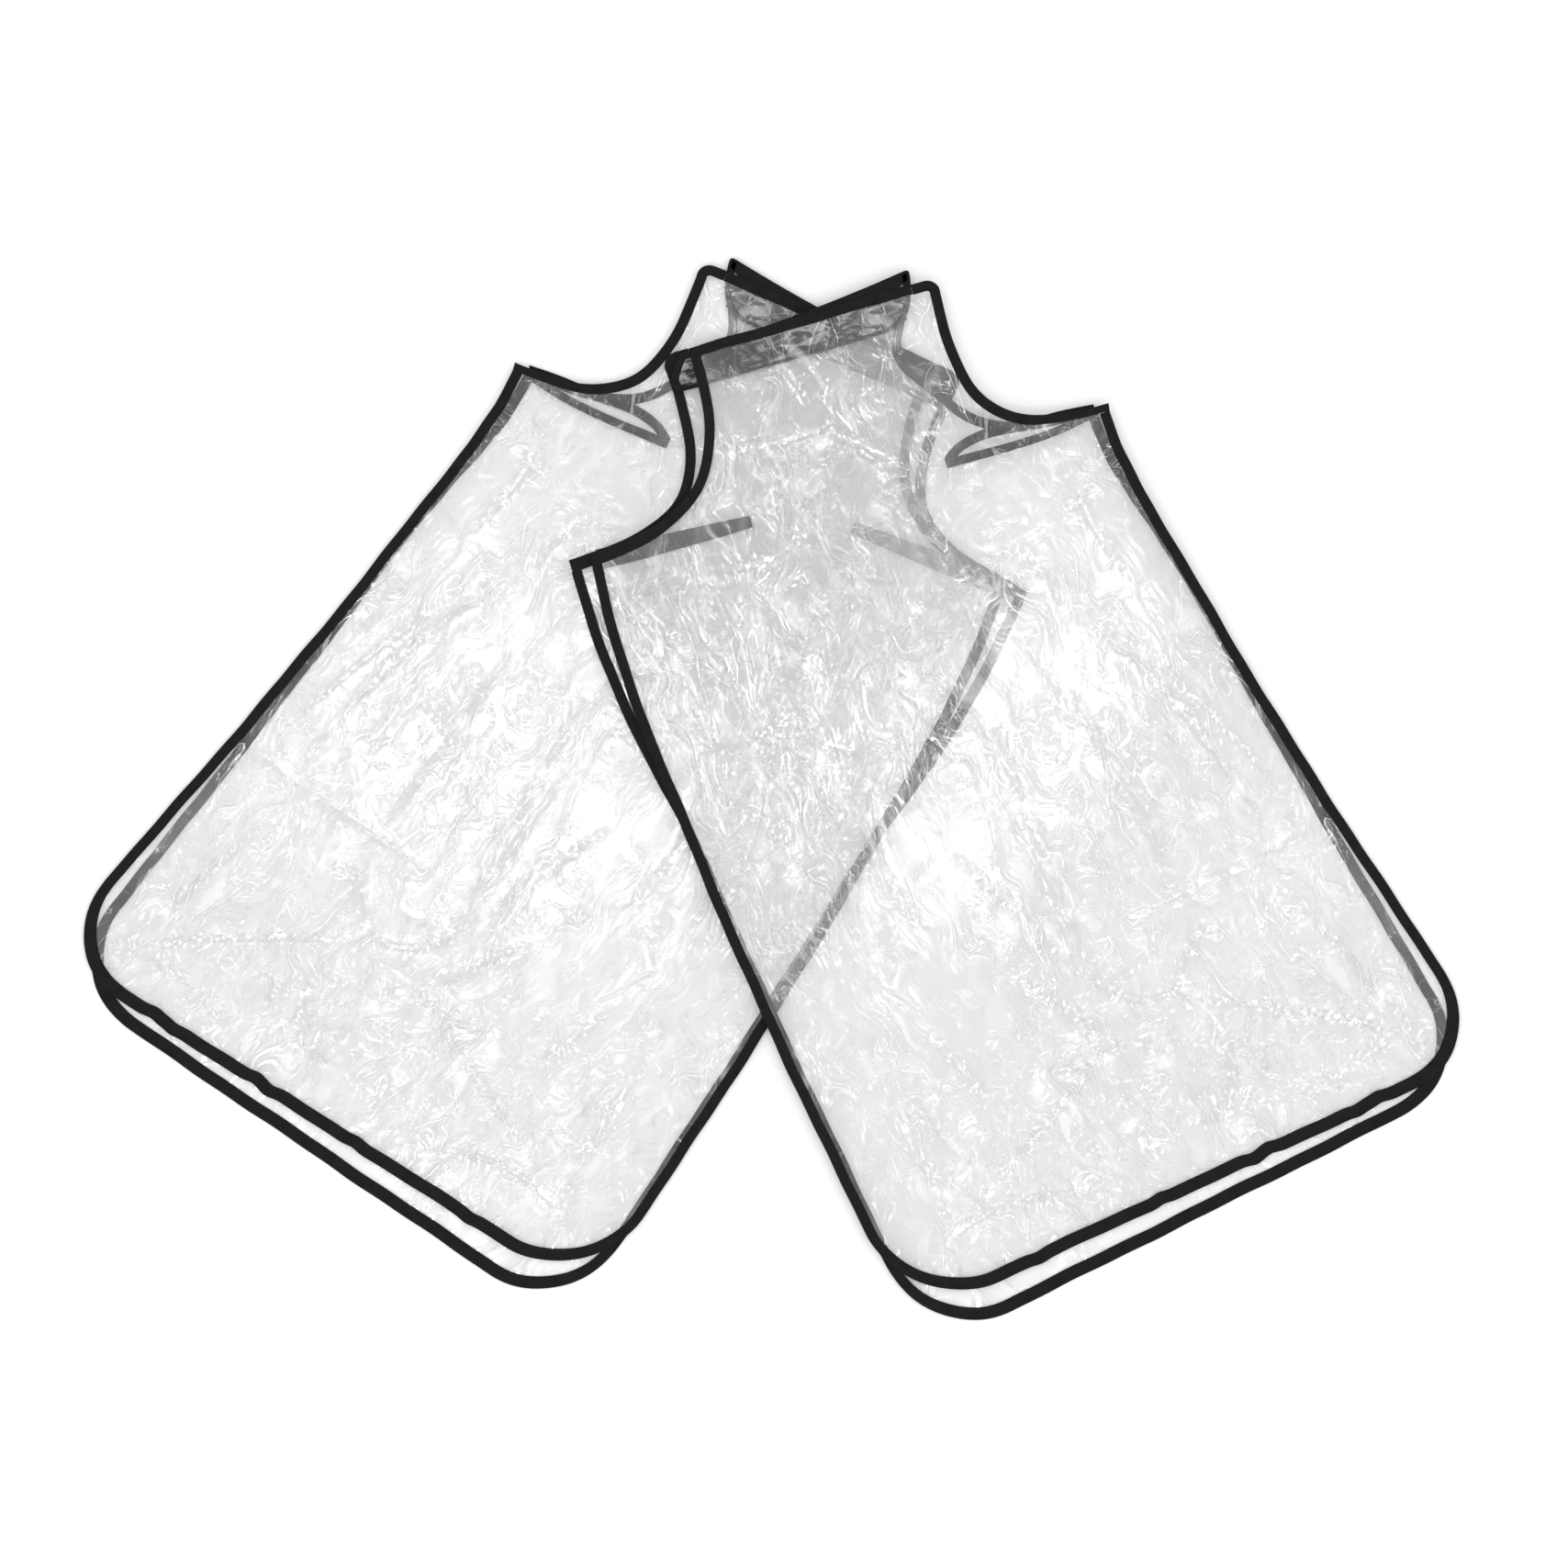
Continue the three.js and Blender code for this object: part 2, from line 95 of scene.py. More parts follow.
def on_table(cape, layer, p, q):
    """The place x, y of a pattern point: the centre line runs straight, round an arc and straight again."""
    mirror, tilt, neck = CAPES[cape][2:]
    down_q = q
    if layer in LENGTH:
        near_hem = smooth((q - HEM_SLANT_FROM) / (LENGTH[layer] - HEM_SLANT_FROM))
        down_q = q + HEM_SLANT[layer] * p / HEM_HALF[layer] * near_hem
    radius = (SWING_END - SWING_START) / SWING
    angle = SWING * np.clip((down_q - SWING_START) / (SWING_END - SWING_START), 0, 1)
    after = np.maximum(0, down_q - SWING_END)
    side = radius * (1 - np.cos(angle)) + after * math.sin(SWING) + p * np.cos(angle) + slip(layer, q)
    down = np.minimum(down_q, SWING_START) + radius * np.sin(angle) + after * math.cos(SWING)
    down = down - p * np.sin(angle)
    if layer == "back":
        amount, at, span = BACK_TUCK
        side = side - amount * np.clip(p / NECK_HALF, 0, 1) * np.exp(-(((q - at) / span) ** 2))
    x = mirror * side
    return (
        neck[0] + x * math.cos(tilt) + down * math.sin(tilt),
        neck[1] + x * math.sin(tilt) - down * math.cos(tilt),
    )


def run_along(points):
    """Distance of each point along the line of points, as the running sum of its steps."""
    return np.append(0, np.cumsum(np.linalg.norm(np.diff(points, axis=0), axis=1)))


def evenly(points, step):
    """Points at equal distances along a line of points."""
    run = run_along(points)
    at = np.linspace(0, run[-1], max(2, int(run[-1] / step) + 1))
    return np.stack([np.interp(at, run, points[:, k]) for k in (0, 1)], axis=1)


def cubic(ends, t):
    """A cubic curve through its first and last points, pulled towards the middle two."""
    a, b, c, d = (np.array(v, float) for v in ends)
    t = np.asarray(t)[..., None]
    return a * (1 - t) ** 3 + 3 * b * t * (1 - t) ** 2 + 3 * c * t**2 * (1 - t) + d * t**3


def armhole_edge(layer, step=EDGE_STEP):
    """One cubic curve from the neck corner, straight down, to the underarm corner, nearly level."""
    drop, lean, reach, rise = ARMHOLE[layer]
    corner = UNDERARM_HALF[layer]
    neck, underarm = (NECK_HALF, NECK_TOP), (corner, UNDERARM_DROP)
    ends = (neck, (NECK_HALF - lean, drop), (corner - reach, UNDERARM_DROP - rise), underarm)
    return evenly(cubic(ends, np.linspace(0, 1, 200)), step)


def skirt_edge(layer, step=EDGE_STEP):
    """The flared side, straight from the underarm corner, and the hem corner's arc down to the hem."""
    corner, hem = UNDERARM_HALF[layer], LENGTH[layer]
    flare = math.atan2(HEM_HALF[layer] - corner, hem - UNDERARM_DROP)
    centre_q = hem - CORNER_RADIUS
    centre_p = corner + (centre_q - UNDERARM_DROP) * math.tan(flare) - CORNER_RADIUS / math.cos(flare)
    turn = np.linspace(-flare, math.pi / 2, 60)
    arc = np.stack([centre_p + CORNER_RADIUS * np.cos(turn), centre_q + CORNER_RADIUS * np.sin(turn)], axis=1)
    return evenly(np.vstack([[(corner, UNDERARM_DROP)], arc]), step)


# ---------------------------------------------------------------------------------------------------------
# The lie. Air holds the front panel off the back one down the middle, and the edges lie on each other. The
# upper cape lies level on the lower one and sinks to the table beyond it.
FILM_LOW, PANEL_GAP, HEM_GAP = 0.8, 8.1, 3.0
GAP_CLOSES_FROM, GAP_CLOSES_TO, HEM_CLOSES_OVER = 250.0, 520.0, 370.0
CAPE_STACK, DRAPE_HOLD, DRAPE_RUN = 10.9, 120.0, 300.0
OUTLINE_STEP = 20.0


def panel_gap(p, q):
    """Height of the front panel above the back one: full in the bodice, small at the sides and the hem."""
    across = np.clip(np.abs(p) / HEM_HALF["front"], 0, 1) ** 2
    hem = smooth((q - (LENGTH["front"] - HEM_CLOSES_OVER)) / HEM_CLOSES_OVER)
    skirt = smooth((q - GAP_CLOSES_FROM) / (GAP_CLOSES_TO - GAP_CLOSES_FROM))
    return PANEL_GAP - (PANEL_GAP - HEM_GAP) * skirt * (1 - (1 - across) * (1 - hem))


half = np.vstack([armhole_edge("front", OUTLINE_STEP), skirt_edge("front", OUTLINE_STEP)])
whole = np.vstack([half, half[::-1] * (-1, 1)])
lower_outline = np.stack(on_table("lower", "front", whole[:, 0], whole[:, 1]), axis=1)


def outside_lower(x, y):
    """Distance of each place outside the lower cape's outline, and 0 inside it."""
    nearest, inside = np.full(x.shape, 1e9), np.zeros(x.shape, bool)
    for (ax, ay), (bx, by) in zip(lower_outline, np.roll(lower_outline, -1, axis=0)):
        length = max(1e-9, (bx - ax) ** 2 + (by - ay) ** 2)
        along = np.clip(((x - ax) * (bx - ax) + (y - ay) * (by - ay)) / length, 0, 1)
        nearest = np.minimum(nearest, np.hypot(x - ax - along * (bx - ax), y - ay - along * (by - ay)))
        if ay != by:
            inside ^= ((ay > y) != (by > y)) & (x < ax + (y - ay) * (bx - ax) / (by - ay))
    return np.where(inside, 0, nearest)


def rest_height(cape, x, y):
    """Height of the table or of the lower cape: a cosine slope down from the stack to the table."""
    if cape == "lower":
        return np.zeros(x.shape)
    fall = np.clip((outside_lower(x, y) - DRAPE_HOLD) / DRAPE_RUN, 0, 1)
    return CAPE_STACK * (0.5 + 0.5 * np.cos(math.pi * fall))


# The upper cape's neck stands where the frame's own neck binding is.
low, high = (np.array(v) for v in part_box("upper_front_neck_binding"))
NECK_PLACE = (low + high)[:2] / 2 / MM - np.array(on_table("upper", "front", 0.0, NECK_TOP - 1))


def places(cape, layer, p, q, z):
    """Points in metres at pattern places p, q and the height z within their layer."""
    x, y = on_table(cape, layer, p, q)
    lift = panel_gap(p, q) if layer == "front" else 0
    return np.stack([x + NECK_PLACE[0], y + NECK_PLACE[1], z + lift + rest_height(cape, x, y)], axis=-1) * MM


# ---------------------------------------------------------------------------------------------------------
# Vinyl panels: cast clear film, 0.2 mm, cut to the pattern above and kept folded in a bag, so it carries
# sharp storage creases, soft rolling waves, haze and rougher smudges where it has rubbed. Painted white
# highlights stand for the glints: lines along the creases and ripples, over the smudges and in bright
# patches. A painted shade greys the upper cape's back panel where it lies over the lower cape.
FILM_SHELL = 0.3
FILM_COLUMNS, COLUMN_CROWD = 151, 0.92  # across the panel, and how closely they crowd to its edges
WAVE_SEED = 4
ROLL_SPREAD, ROLL_EASE, ROLL_LIMIT = 0.6, 0.9, 1.1
WAVES = {  # the lengths of the waves of each field, and what its draw adds to the seed
    "roll": ((310, 220, 150, 105, 75), 0),
    "busy": ((190, 120, 80), 20),
    "veil": ((420, 260, 150), 30),
    "drift_p": ((110, 70, 45), 40),
    "drift_q": ((120, 75, 50), 50),
}
RIM_SHARE, RIM_ROWS = 0.2, 9  # the waves die away over this much of the half width and this many rows
BODICE_WAVES, BODICE_WAVES_FROM, BODICE_WAVES_RUN = 0.4, 40, 160
GREY_EASE, GREY_FROM, GREY_RUN, GREY_FALL = 14, 240, 240, 1.4  # painted shade: greyer film where the upper back panel lies over the lower cape
CLEAR_NECK, CLEAR_DROP, CLEAR_HALF = 0.35, (36, 10), (128, 20)  # and clearer film over the collar
FOLD_REACH, FOLD_STEPS, FOLD_RIDGE = 20.0, 24, 7
# Each crease lifts the film in a ridge and also carries a painted white glint along it.
FOLDS = (  # ends and bend of each crease, its width and its strength
    ((60, 797), (170, 794), (338, 800), 1.6, 0.55),
    ((0, 800), (22, 905), (96, 890), 2.6, 0.9),
    ((96, 890), (122, 862), (150, 838), 2.6, 0.7),
    ((108, 908), (118, 1012), (62, 1036), 2.2, 0.9),
    ((62, 1036), (44, 1048), (30, 1032), 2.2, 0.7),
    ((24, 918), (42, 988), (70, 912), 1.8, 0.8),
    ((34, 832), (52, 862), (74, 850), 1.8, 0.8),
    ((252, 300), (246, 350), (262, 440), 3.2, 0.8),
    ((212, 500), (262, 610), (268, 765), 2.6, 0.8),
    ((232, 505), (290, 640), (305, 740), 2.6, 0.6),
    ((-62, 640), (-30, 720), (-12, 784), 3.0, 0.8),
    ((-66, 800), (-30, 850), (-8, 902), 2.8, 0.8),
    ((-190, 800), (-176, 850), (-166, 900), 3.2, 0.7),
    ((-100, 905), (-40, 935), (8, 912), 2.6, 0.7),
    ((-226, 1010), (-110, 960), (-40, 930), 2.6, 0.6),
    ((300, 1052), (220, 980), (104, 912), 2.8, 0.6),
    ((305, 1050), (285, 960), (262, 850), 2.6, 0.5),
    ((300, 1056), (230, 1040), (150, 1068), 2.2, 0.5),
    ((-290, 1040), (-200, 1010), (-110, 1066), 2.8, 0.6),
    ((-286, 1030), (-250, 940), (-262, 840), 2.6, 0.5),
    ((-140, 500), (-150, 620), (-132, 700), 3.0, 0.6),
    ((48, 520), (28, 640), (36, 780), 3.4, 0.6),
    ((16, 610), (6, 700), (22, 790), 2.6, 0.6),
    ((150, 520), (140, 640), (152, 780), 3.0, 0.5),
    ((158, 330), (178, 400), (190, 470), 2.6, 0.5),
    ((-128, 128), (-60, 132), (-10, 128), 3.4, 0.9),
    ((-20, 130), (40, 168), (62, 200), 3.2, 0.8),
    ((-280, 230), (-230, 300), (-240, 380), 3.0, 0.5),
    ((-200, 232), (-120, 270), (-60, 232), 2.6, 0.6),
    ((-270, 400), (-190, 430), (-120, 400), 3.0, 0.5),
    ((-40, 20), (-8, 60), (-2, 110), 4.0, 0.7),
)
GLARES = (  # painted highlights: centre, reach and strength of each bright patch
    ((160, 660), (120, 130), 0.9),
    ((70, 700), (40, 90), 0.8),
    ((60, 560), (60, 50), 0.6),
    ((-40, 740), (50, 60), 0.5),
    ((-180, 975), (90, 26), 0.6),
    ((-130, 1050), (80, 30), 0.7),
    ((55, 815), (30, 22), 0.6),
    ((285, 870), (40, 26), 0.6),
    ((-220, 540), (80, 70), 0.5),
    ((180, 320), (40, 16), 0.5),
    ((140, 50), (22, 34), 0.7),
    ((200, 1060), (90, 22), 0.3),
    ((-20, 940), (170, 80), 0.35),
    ((170, 960), (110, 70), 0.35),
    ((-240, 900), (60, 110), 0.3),
    ((-200, 330), (110, 70), 0.35),
)


class Sock:
    """A shader socket or a plain number, so that shader maths reads as Python expressions."""

    def __init__(self, tree, link):
        self.tree, self.link = tree, link

    def node(self, kind, settings=None, out=0, **sockets):
        """Adds a node, sets its settings, then its sockets by name or as _index, and gives one output."""
        n = self.tree.nodes.new(kind)
        for key, value in (settings or {}).items():
            setattr(n, key, value)
        for key, value in sockets.items():
            socket = n.inputs[int(key[1:])] if key[0] == "_" else n.inputs[key.replace("_", " ")]
            if isinstance(value, Sock):
                self.tree.links.new(value.link, socket)
            else:
                socket.default_value = value
        return Sock(self.tree, n.outputs[out])

    def math(self, operation, other=0.0):
        """This value and another put through a Math node."""
        return self.node("ShaderNodeMath", {"operation": operation}, _0=self, _1=other)

    def __add__(self, other):
        return self.math("ADD", other)

    def __sub__(self, other):
        return self.math("SUBTRACT", other)

    def __mul__(self, other):
        return self.math("MULTIPLY", other)

    def __truediv__(self, other):
        return self.math("DIVIDE", other)

    def __rsub__(self, other):
        return self.node("ShaderNodeMath", {"operation": "SUBTRACT"}, _0=other, _1=self)

    __radd__, __rmul__ = __add__, __mul__

    def size(self):
        """The value without its sign."""
        return self.math("ABSOLUTE")

    def most(self, other):
        """The larger of two values."""
        return self.math("MAXIMUM", other)

    def between(self, start, end):
        """Rises smoothly from 0 to 1 as the value goes from start to end."""
        settings = {"interpolation_type": "SMOOTHSTEP"}
        return self.node("ShaderNodeMapRange", settings, _0=self, _1=start, _2=end)

    def shade(self, dark, light):
        """A colour between two, by this value."""
        settings = {"data_type": "RGBA"}
        return self.node("ShaderNodeMix", settings, 2, _0=self, _6=(*dark, 1), _7=(*light, 1))

    def moved(self, by=(0, 0, 0), stretch=(1, 1, 1), turn=0.0):
        """The coordinates stretched, turned about Z and moved."""
        sockets = {"Location": by, "Rotation": (0, 0, turn), "Scale": stretch}
        return self.node("ShaderNodeMapping", None, 0, Vector=self, **sockets)

    def noise(self, scale, detail=2.0, bend=0.0):
        """Flat cloudy noise over these coordinates, from 0 to 1 with a mean of about a half."""
        sockets = {"Scale": scale, "Detail": detail, "Distortion": bend}
        return self.node("ShaderNodeTexNoise", {"noise_dimensions": "2D"}, 0, Vector=self, **sockets)

    def bump(self, depth, strength=1.0):
        """A normal from this height, depth metres deep."""
        return self.node("ShaderNodeBump", None, 0, Strength=strength, Distance=depth, Height=self)


def new_material(name, **uniform):
    """A Principled material with uniform sockets set: gives it, its shader and a socket to start from."""
    material = bpy.data.materials.new(name)
    material.use_nodes = True
    shader = material.node_tree.nodes["Principled BSDF"]
    for key, value in uniform.items():
        shader.inputs[key.replace("_", " ")].default_value = value
    return material, shader, Sock(material.node_tree, None)


def feed(shader, **sockets):
    """Links shader inputs, by name, to what changes over the surface."""
    for key, value in sockets.items():
        value.tree.links.new(value.link, shader.inputs[key.replace("_", " ")])


def film_material(layer):
    """Clear film: mostly see-through and mirror-like. Painted white highlights, haze and painted shade are
    less clear.
    """
    material, shader, start = new_material(f"clear_vinyl_{layer}", Metallic=0.6, IOR=1.5)
    own = start.node("ShaderNodeUVMap", {"uv_map": "cut"})
    cut = own.moved(by=(0, 0, 0) if layer == "front" else (3.1, 1.7, 0.0))
    names = ("crease", "busy", "veil", "overlap_shade")
    fields = (start.node("ShaderNodeAttribute", {"attribute_name": name}, 2) for name in names)
    crease, busy, veil, overlap_shade = fields
    rib = cut.moved(stretch=(1.0, 0.22, 1.0), turn=0.12).noise(18.0, 3.0)
    smear = cut.moved(stretch=(1.0, 0.4, 1.0), turn=-0.35).noise(42.0, 4.0)
    crinkle = cut.moved(by=(4.0, 1.1, 0)).noise(34.0, 2.0)
    ridge, fret = (rib - 0.5).size(), (crinkle - 0.5).size()
    # Painted highlights: white glint lines along the ridges of the ripple, smear and crinkle noises and along
    # the creases.
    glint_lines = ridge.between(0.009, 0.0).most((rib - 0.6).size().between(0.007, 0.0) * 0.7)
    glint_lines = glint_lines.most((smear - 0.45).size().between(0.008, 0.0) * 0.6).most(fret.between(0.013, 0.0) * busy)
    glint_lines = (glint_lines * (busy * 0.5 + 0.5)).most(crease)
    # Rubbed smudges are rougher and carry a painted white highlight, brighter where highlights crowd; the
    # veil adds haze.
    smudge_and_highlight = smear.between(0.5, 0.72)
    haze_and_highlight = smudge_and_highlight * (busy * 0.6 + 0.12) + veil * 0.25
    # The base colour turns white under the painted highlights and haze; the alpha also holds painted shade
    # over the overlap.
    feed(shader, Base_Color=glint_lines.most(haze_and_highlight * 1.4).shade((0.635, 0.638, 0.642), (0.98, 0.98, 0.98)))
    feed(shader, Alpha=haze_and_highlight * 0.17 + glint_lines * 0.36 + overlap_shade * 0.09 + 0.074)
    feed(shader, Roughness=smudge_and_highlight * 0.1 + 0.12)
    height = ridge.between(0.06, 0.0) * (busy + 0.2) + fret.between(0.08, 0.0) * busy * 0.4 + rib * 1.5
    feed(shader, Normal=(height + crease).bump(0.0035, 0.65))
    return material


def fold_marks(p, q):
    """Signed distance to the nearest crease and that crease's strength, which fades to its ends."""
    nearest, signed, strength, width = (np.full(p.shape, v) for v in (1e9, FOLD_REACH, 0.0, 2.0))
    t = np.linspace(0, 1, FOLD_STEPS + 1)[:, None]
    for a, b, c, wide, strong in FOLDS:
        line = np.array(a) * (1 - t) ** 2 + 2 * np.array(b) * t * (1 - t) + np.array(c) * t**2
        for k, (m, n) in enumerate(zip(line, line[1:])):
            run = n - m
            along = np.clip(((p - m[0]) * run[0] + (q - m[1]) * run[1]) / (run @ run), 0, 1)
            dp, dq = p - m[0] - along * run[0], q - m[1] - along * run[1]
            away = np.hypot(dp, dq)
            closer = away < nearest
            nearest = np.where(closer, away, nearest)
            signed = np.where(closer, away * np.sign(dp * run[1] - dq * run[0] + 1e-9), signed)
            fade = math.sin(math.pi * (k + 0.5) / FOLD_STEPS) ** 0.5
            strength = np.where(closer, strong * fade, strength)
            width = np.where(closer, wide, width)
    return np.clip(signed, -FOLD_REACH, FOLD_REACH), strength, width


def glare_field(p, q):
    """The sum of the painted highlight patches, each a bell in p and q."""
    bells = (s * np.exp(-(((p - c[0]) / r[0]) ** 2) - ((q - c[1]) / r[1]) ** 2) for c, r, s in GLARES)
    return np.clip(sum(bells), 0, 1)


def waves(p, q, lengths, seed, spread=1.57, ease=0.5):
    """A sum of bent sines, two of each length, within spread of the p direction; short ones are low."""
    rng = np.random.default_rng(seed)
    total = np.zeros(p.shape)
    for length in np.repeat(lengths, 2):
        turn, phase = rng.uniform(-spread, spread), rng.uniform(0, 2 * math.pi)
        run = p * math.cos(turn) + q * math.sin(turn)
        bend = 0.12 * length * np.sin(q / length * 1.7 + p / length * 0.9 + phase)
        total += (length / max(lengths)) ** ease * np.sin(2 * math.pi * (run + bend) / length + phase)
    return total / math.sqrt(len(lengths))


def plate_faces(rows, columns):
    """Faces of a closed plate over a grid: its underside, its top, and the rim that joins them."""
    i = np.arange(rows * columns).reshape(rows, columns)
    sheet = np.stack([i[:-1, :-1], i[:-1, 1:], i[1:, 1:], i[1:, :-1]], axis=-1).reshape(-1, 4)
    rim = np.concatenate([i[0, :-1], i[:-1, -1], i[-1, :0:-1], i[:0:-1, 0]])
    after, count = np.roll(rim, -1), rows * columns
    sides = np.stack([rim, after, after + count, rim + count], axis=-1)
    return np.vstack([sheet[:, ::-1], sheet + count, sides])


def film(cape, layer):
    """The panel: a closed thin shell over a grid of f across and edge stations down, bent by its waves."""

    def wave(kind, **shape):
        """One of the film's fields of waves, from its own draw."""
        lengths, draw = WAVES[kind]
        return waves(p, q, lengths, seed + draw, **shape)

    edge = np.vstack([armhole_edge(layer), skirt_edge(layer)[1:]])
    quarter = math.pi / 2
    f = np.sin(np.linspace(-1, 1, FILM_COLUMNS) * quarter * COLUMN_CROWD) / math.sin(quarter * COLUMN_CROWD)
    middle = np.linspace(NECK_TOP, LENGTH[layer], len(edge))[:, None]
    p = edge[:, :1] * f
    q = middle + (edge[:, 1:] - middle) * f * f
    rows, columns = p.shape
    inset = np.minimum(1 - np.abs(f), RIM_SHARE) / RIM_SHARE
    ends = np.clip(np.minimum(np.arange(rows), rows - 1 - np.arange(rows)) / RIM_ROWS, 0, 1)
    below_neck = smooth((q - BODICE_WAVES_FROM) / BODICE_WAVES_RUN)
    calm = smooth(inset)[None, :] * smooth(ends)[:, None]
    calm = calm * (BODICE_WAVES + (1 - BODICE_WAVES) * below_neck)
    signed, strength, width = fold_marks(p, q)
    ridge = strength * np.exp(-((signed / FOLD_RIDGE) ** 2))
    seed = WAVE_SEED + (layer == "front")
    roll = np.clip(wave("roll", spread=ROLL_SPREAD, ease=ROLL_EASE), -ROLL_LIMIT, ROLL_LIMIT)
    rise = {"back": 0.45 + 0.4 * roll, "front": 0.85 * roll}[layer]
    z = FILM_LOW + 0.15 + calm * (rise + 0.8 * ridge)
    top = places(cape, layer, p, q, z + FILM_SHELL).reshape(-1, 3)
    bottom = places(cape, layer, p, q, z).reshape(-1, 3)
    faces = plate_faces(rows, columns)
    if CAPES[cape][2] > 0:
        faces = faces[:, ::-1]
    piece = new_piece(f"{cape}_{layer}_film", np.vstack([bottom, top]), faces, film_materials[layer])
    x, y = on_table(cape, layer, p, q)
    # Painted shade: the upper back panel is greyer where it lies over the lower cape, turning clearer down
    # the skirt; every panel is clearer over the collar.
    overlap_shade = (1 - smooth(outside_lower(x, y) / GREY_EASE)) * (cape == "upper") * (layer == "back")
    overlap_shade = overlap_shade * (1 - GREY_FALL * smooth((q - GREY_FROM) / GREY_RUN))
    (drop, drop_run), (reach, reach_run) = CLEAR_DROP, CLEAR_HALF
    over_collar = (1 - smooth((q - drop) / drop_run)) * (1 - smooth((np.abs(p) - reach) / reach_run))
    overlap_shade = overlap_shade - CLEAR_NECK * over_collar
    # The painted white glint along each crease, fainter on the back panel.
    line = strength * np.clip(1.6 - np.abs(signed) / width, 0, 1)
    weaker = 1.0 if layer == "front" else 0.45
    # Where the painted highlights crowd: the bright patches and a field of waves.
    busy = np.clip(glare_field(p, q) + 0.75 * smooth(wave("busy") + 0.1), 0, 1)
    veil = smooth(0.5 + 0.5 * wave("veil"))
    fields = {"crease": line * weaker, "busy": busy, "veil": veil, "overlap_shade": overlap_shade}
    for name, values in fields.items():
        field = piece.data.attributes.new(name, "FLOAT", "POINT")
        field.data.foreach_set("value", np.tile(values.ravel(), 2))
    cut = np.stack([p + 9 * wave("drift_p"), q + 9 * wave("drift_q")], axis=-1).reshape(-1, 2) * MM
    add_uv(piece, "cut", np.tile(cut, (2, 1)))
    return piece


def new_piece(name, points, faces, material):
    """A mesh object at the origin, smooth shaded, from arrays of points and of faces of one size."""
    mesh = bpy.data.meshes.new(name)
    mesh.vertices.add(len(points))
    mesh.vertices.foreach_set("co", np.asarray(points, float).ravel())
    mesh.loops.add(faces.size)
    mesh.loops.foreach_set("vertex_index", faces.ravel().astype(np.int32))
    mesh.polygons.add(len(faces))
    mesh.polygons.foreach_set("loop_start", np.arange(len(faces), dtype=np.int32) * faces.shape[1])
    mesh.polygons.foreach_set("use_smooth", np.ones(len(faces), bool))
    mesh.update(calc_edges=True)
    mesh.validate()
    mesh.materials.append(material)
    piece = bpy.data.objects.new(name, mesh)
    scene.collection.objects.link(piece)
    return piece


def add_uv(piece, name, values):
    """A UV map that holds one pair of numbers for each vertex."""
    corner = np.zeros(len(piece.data.loops), np.int32)
    piece.data.loops.foreach_get("vertex_index", corner)
    piece.data.uv_layers.new(name=name).data.foreach_set("uv", values[corner].ravel())


film_materials = {layer: film_material(layer) for layer in LENGTH}
films = {}
for cape in CAPES:
    for k, layer in enumerate(("back", "front")):
        films[cape, layer] = piece = film(cape, layer)
        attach(piece, CAPES[cape][k])
        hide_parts(f"{cape}_{layer}_panel")


# ---------------------------------------------------------------------------------------------------------
# Edge bindings: black woven polyester tape, 24 mm wide, folded in two over the film's edge and stitched
# through 2 mm from its inner edge. It was sewn on by hand round the curves, so it wanders a little.
TAPE_GRIP, TAPE_STANDS, TAPE_WALL, TAPE_HEIGHT = 5.0, 7.0, 0.5, 2.2
NECK_TAPE_END, NECK_BEND, SKIRT_SETBACK = 118.0, 9.0, 4.8
STITCH_LINE, STITCH_STEP = 3.0, 0.0032  # from the film's edge inwards, and the stitch's length in metres
HEM_BROADER = 0.24  # the tape is turned wider along the hem
ARMHOLE_STEP, NECK_LEAD = 4.0, (0.3, 5.0)  # the armhole tape starts this far past the neck tape's end
HEM_KINKS = ((-52.0, 2.2), (64.0, -2.6), (86.0, 2.4), (196.0, -2.0), (226.0, 2.2), (-210.0, -1.6))


def tape_material():
    """Black tape: fine ribs across, a little dust, and a row of dull black stitches."""
    material, shader, start = new_material("black_binding", Specular_IOR_Level=0.15)
    shader.inputs["Sheen Weight"].default_value = 0.03
    run = start.node("ShaderNodeUVMap", {"uv_map": "run"})
    parts = run.node("ShaderNodeSeparateXYZ", None, 0, Vector=run)
    across = Sock(start.tree, parts.link.node.outputs[1])
    rib = (parts * (2 * math.pi / 0.0009)).math("SINE")
    yarn = run.moved(stretch=(1, 0.2, 1)).noise(900.0, 2.0)
    dust = run.noise(60.0, 3.0)
    step = (parts / STITCH_STEP).math("FRACT")
    dash = step.between(0.12, 0.2) * step.between(0.88, 0.8)
    stitch = dash * (across - STITCH_LINE * MM).size().between(0.0006, 0.0003)
    tone = (yarn * 0.5 + dust * 0.5).between(0.3, 0.7)
    tone = tone * 0.75 + stitch * 0.25
    feed(shader, Base_Color=tone.shade((0.0045, 0.0045, 0.005), (0.010, 0.010, 0.011)))
    feed(shader, Roughness=0.68 + yarn * 0.2)
    feed(shader, Normal=(rib * 0.2 + yarn * 0.4 + stitch * 1.4).bump(0.00025, 0.6))
    return material


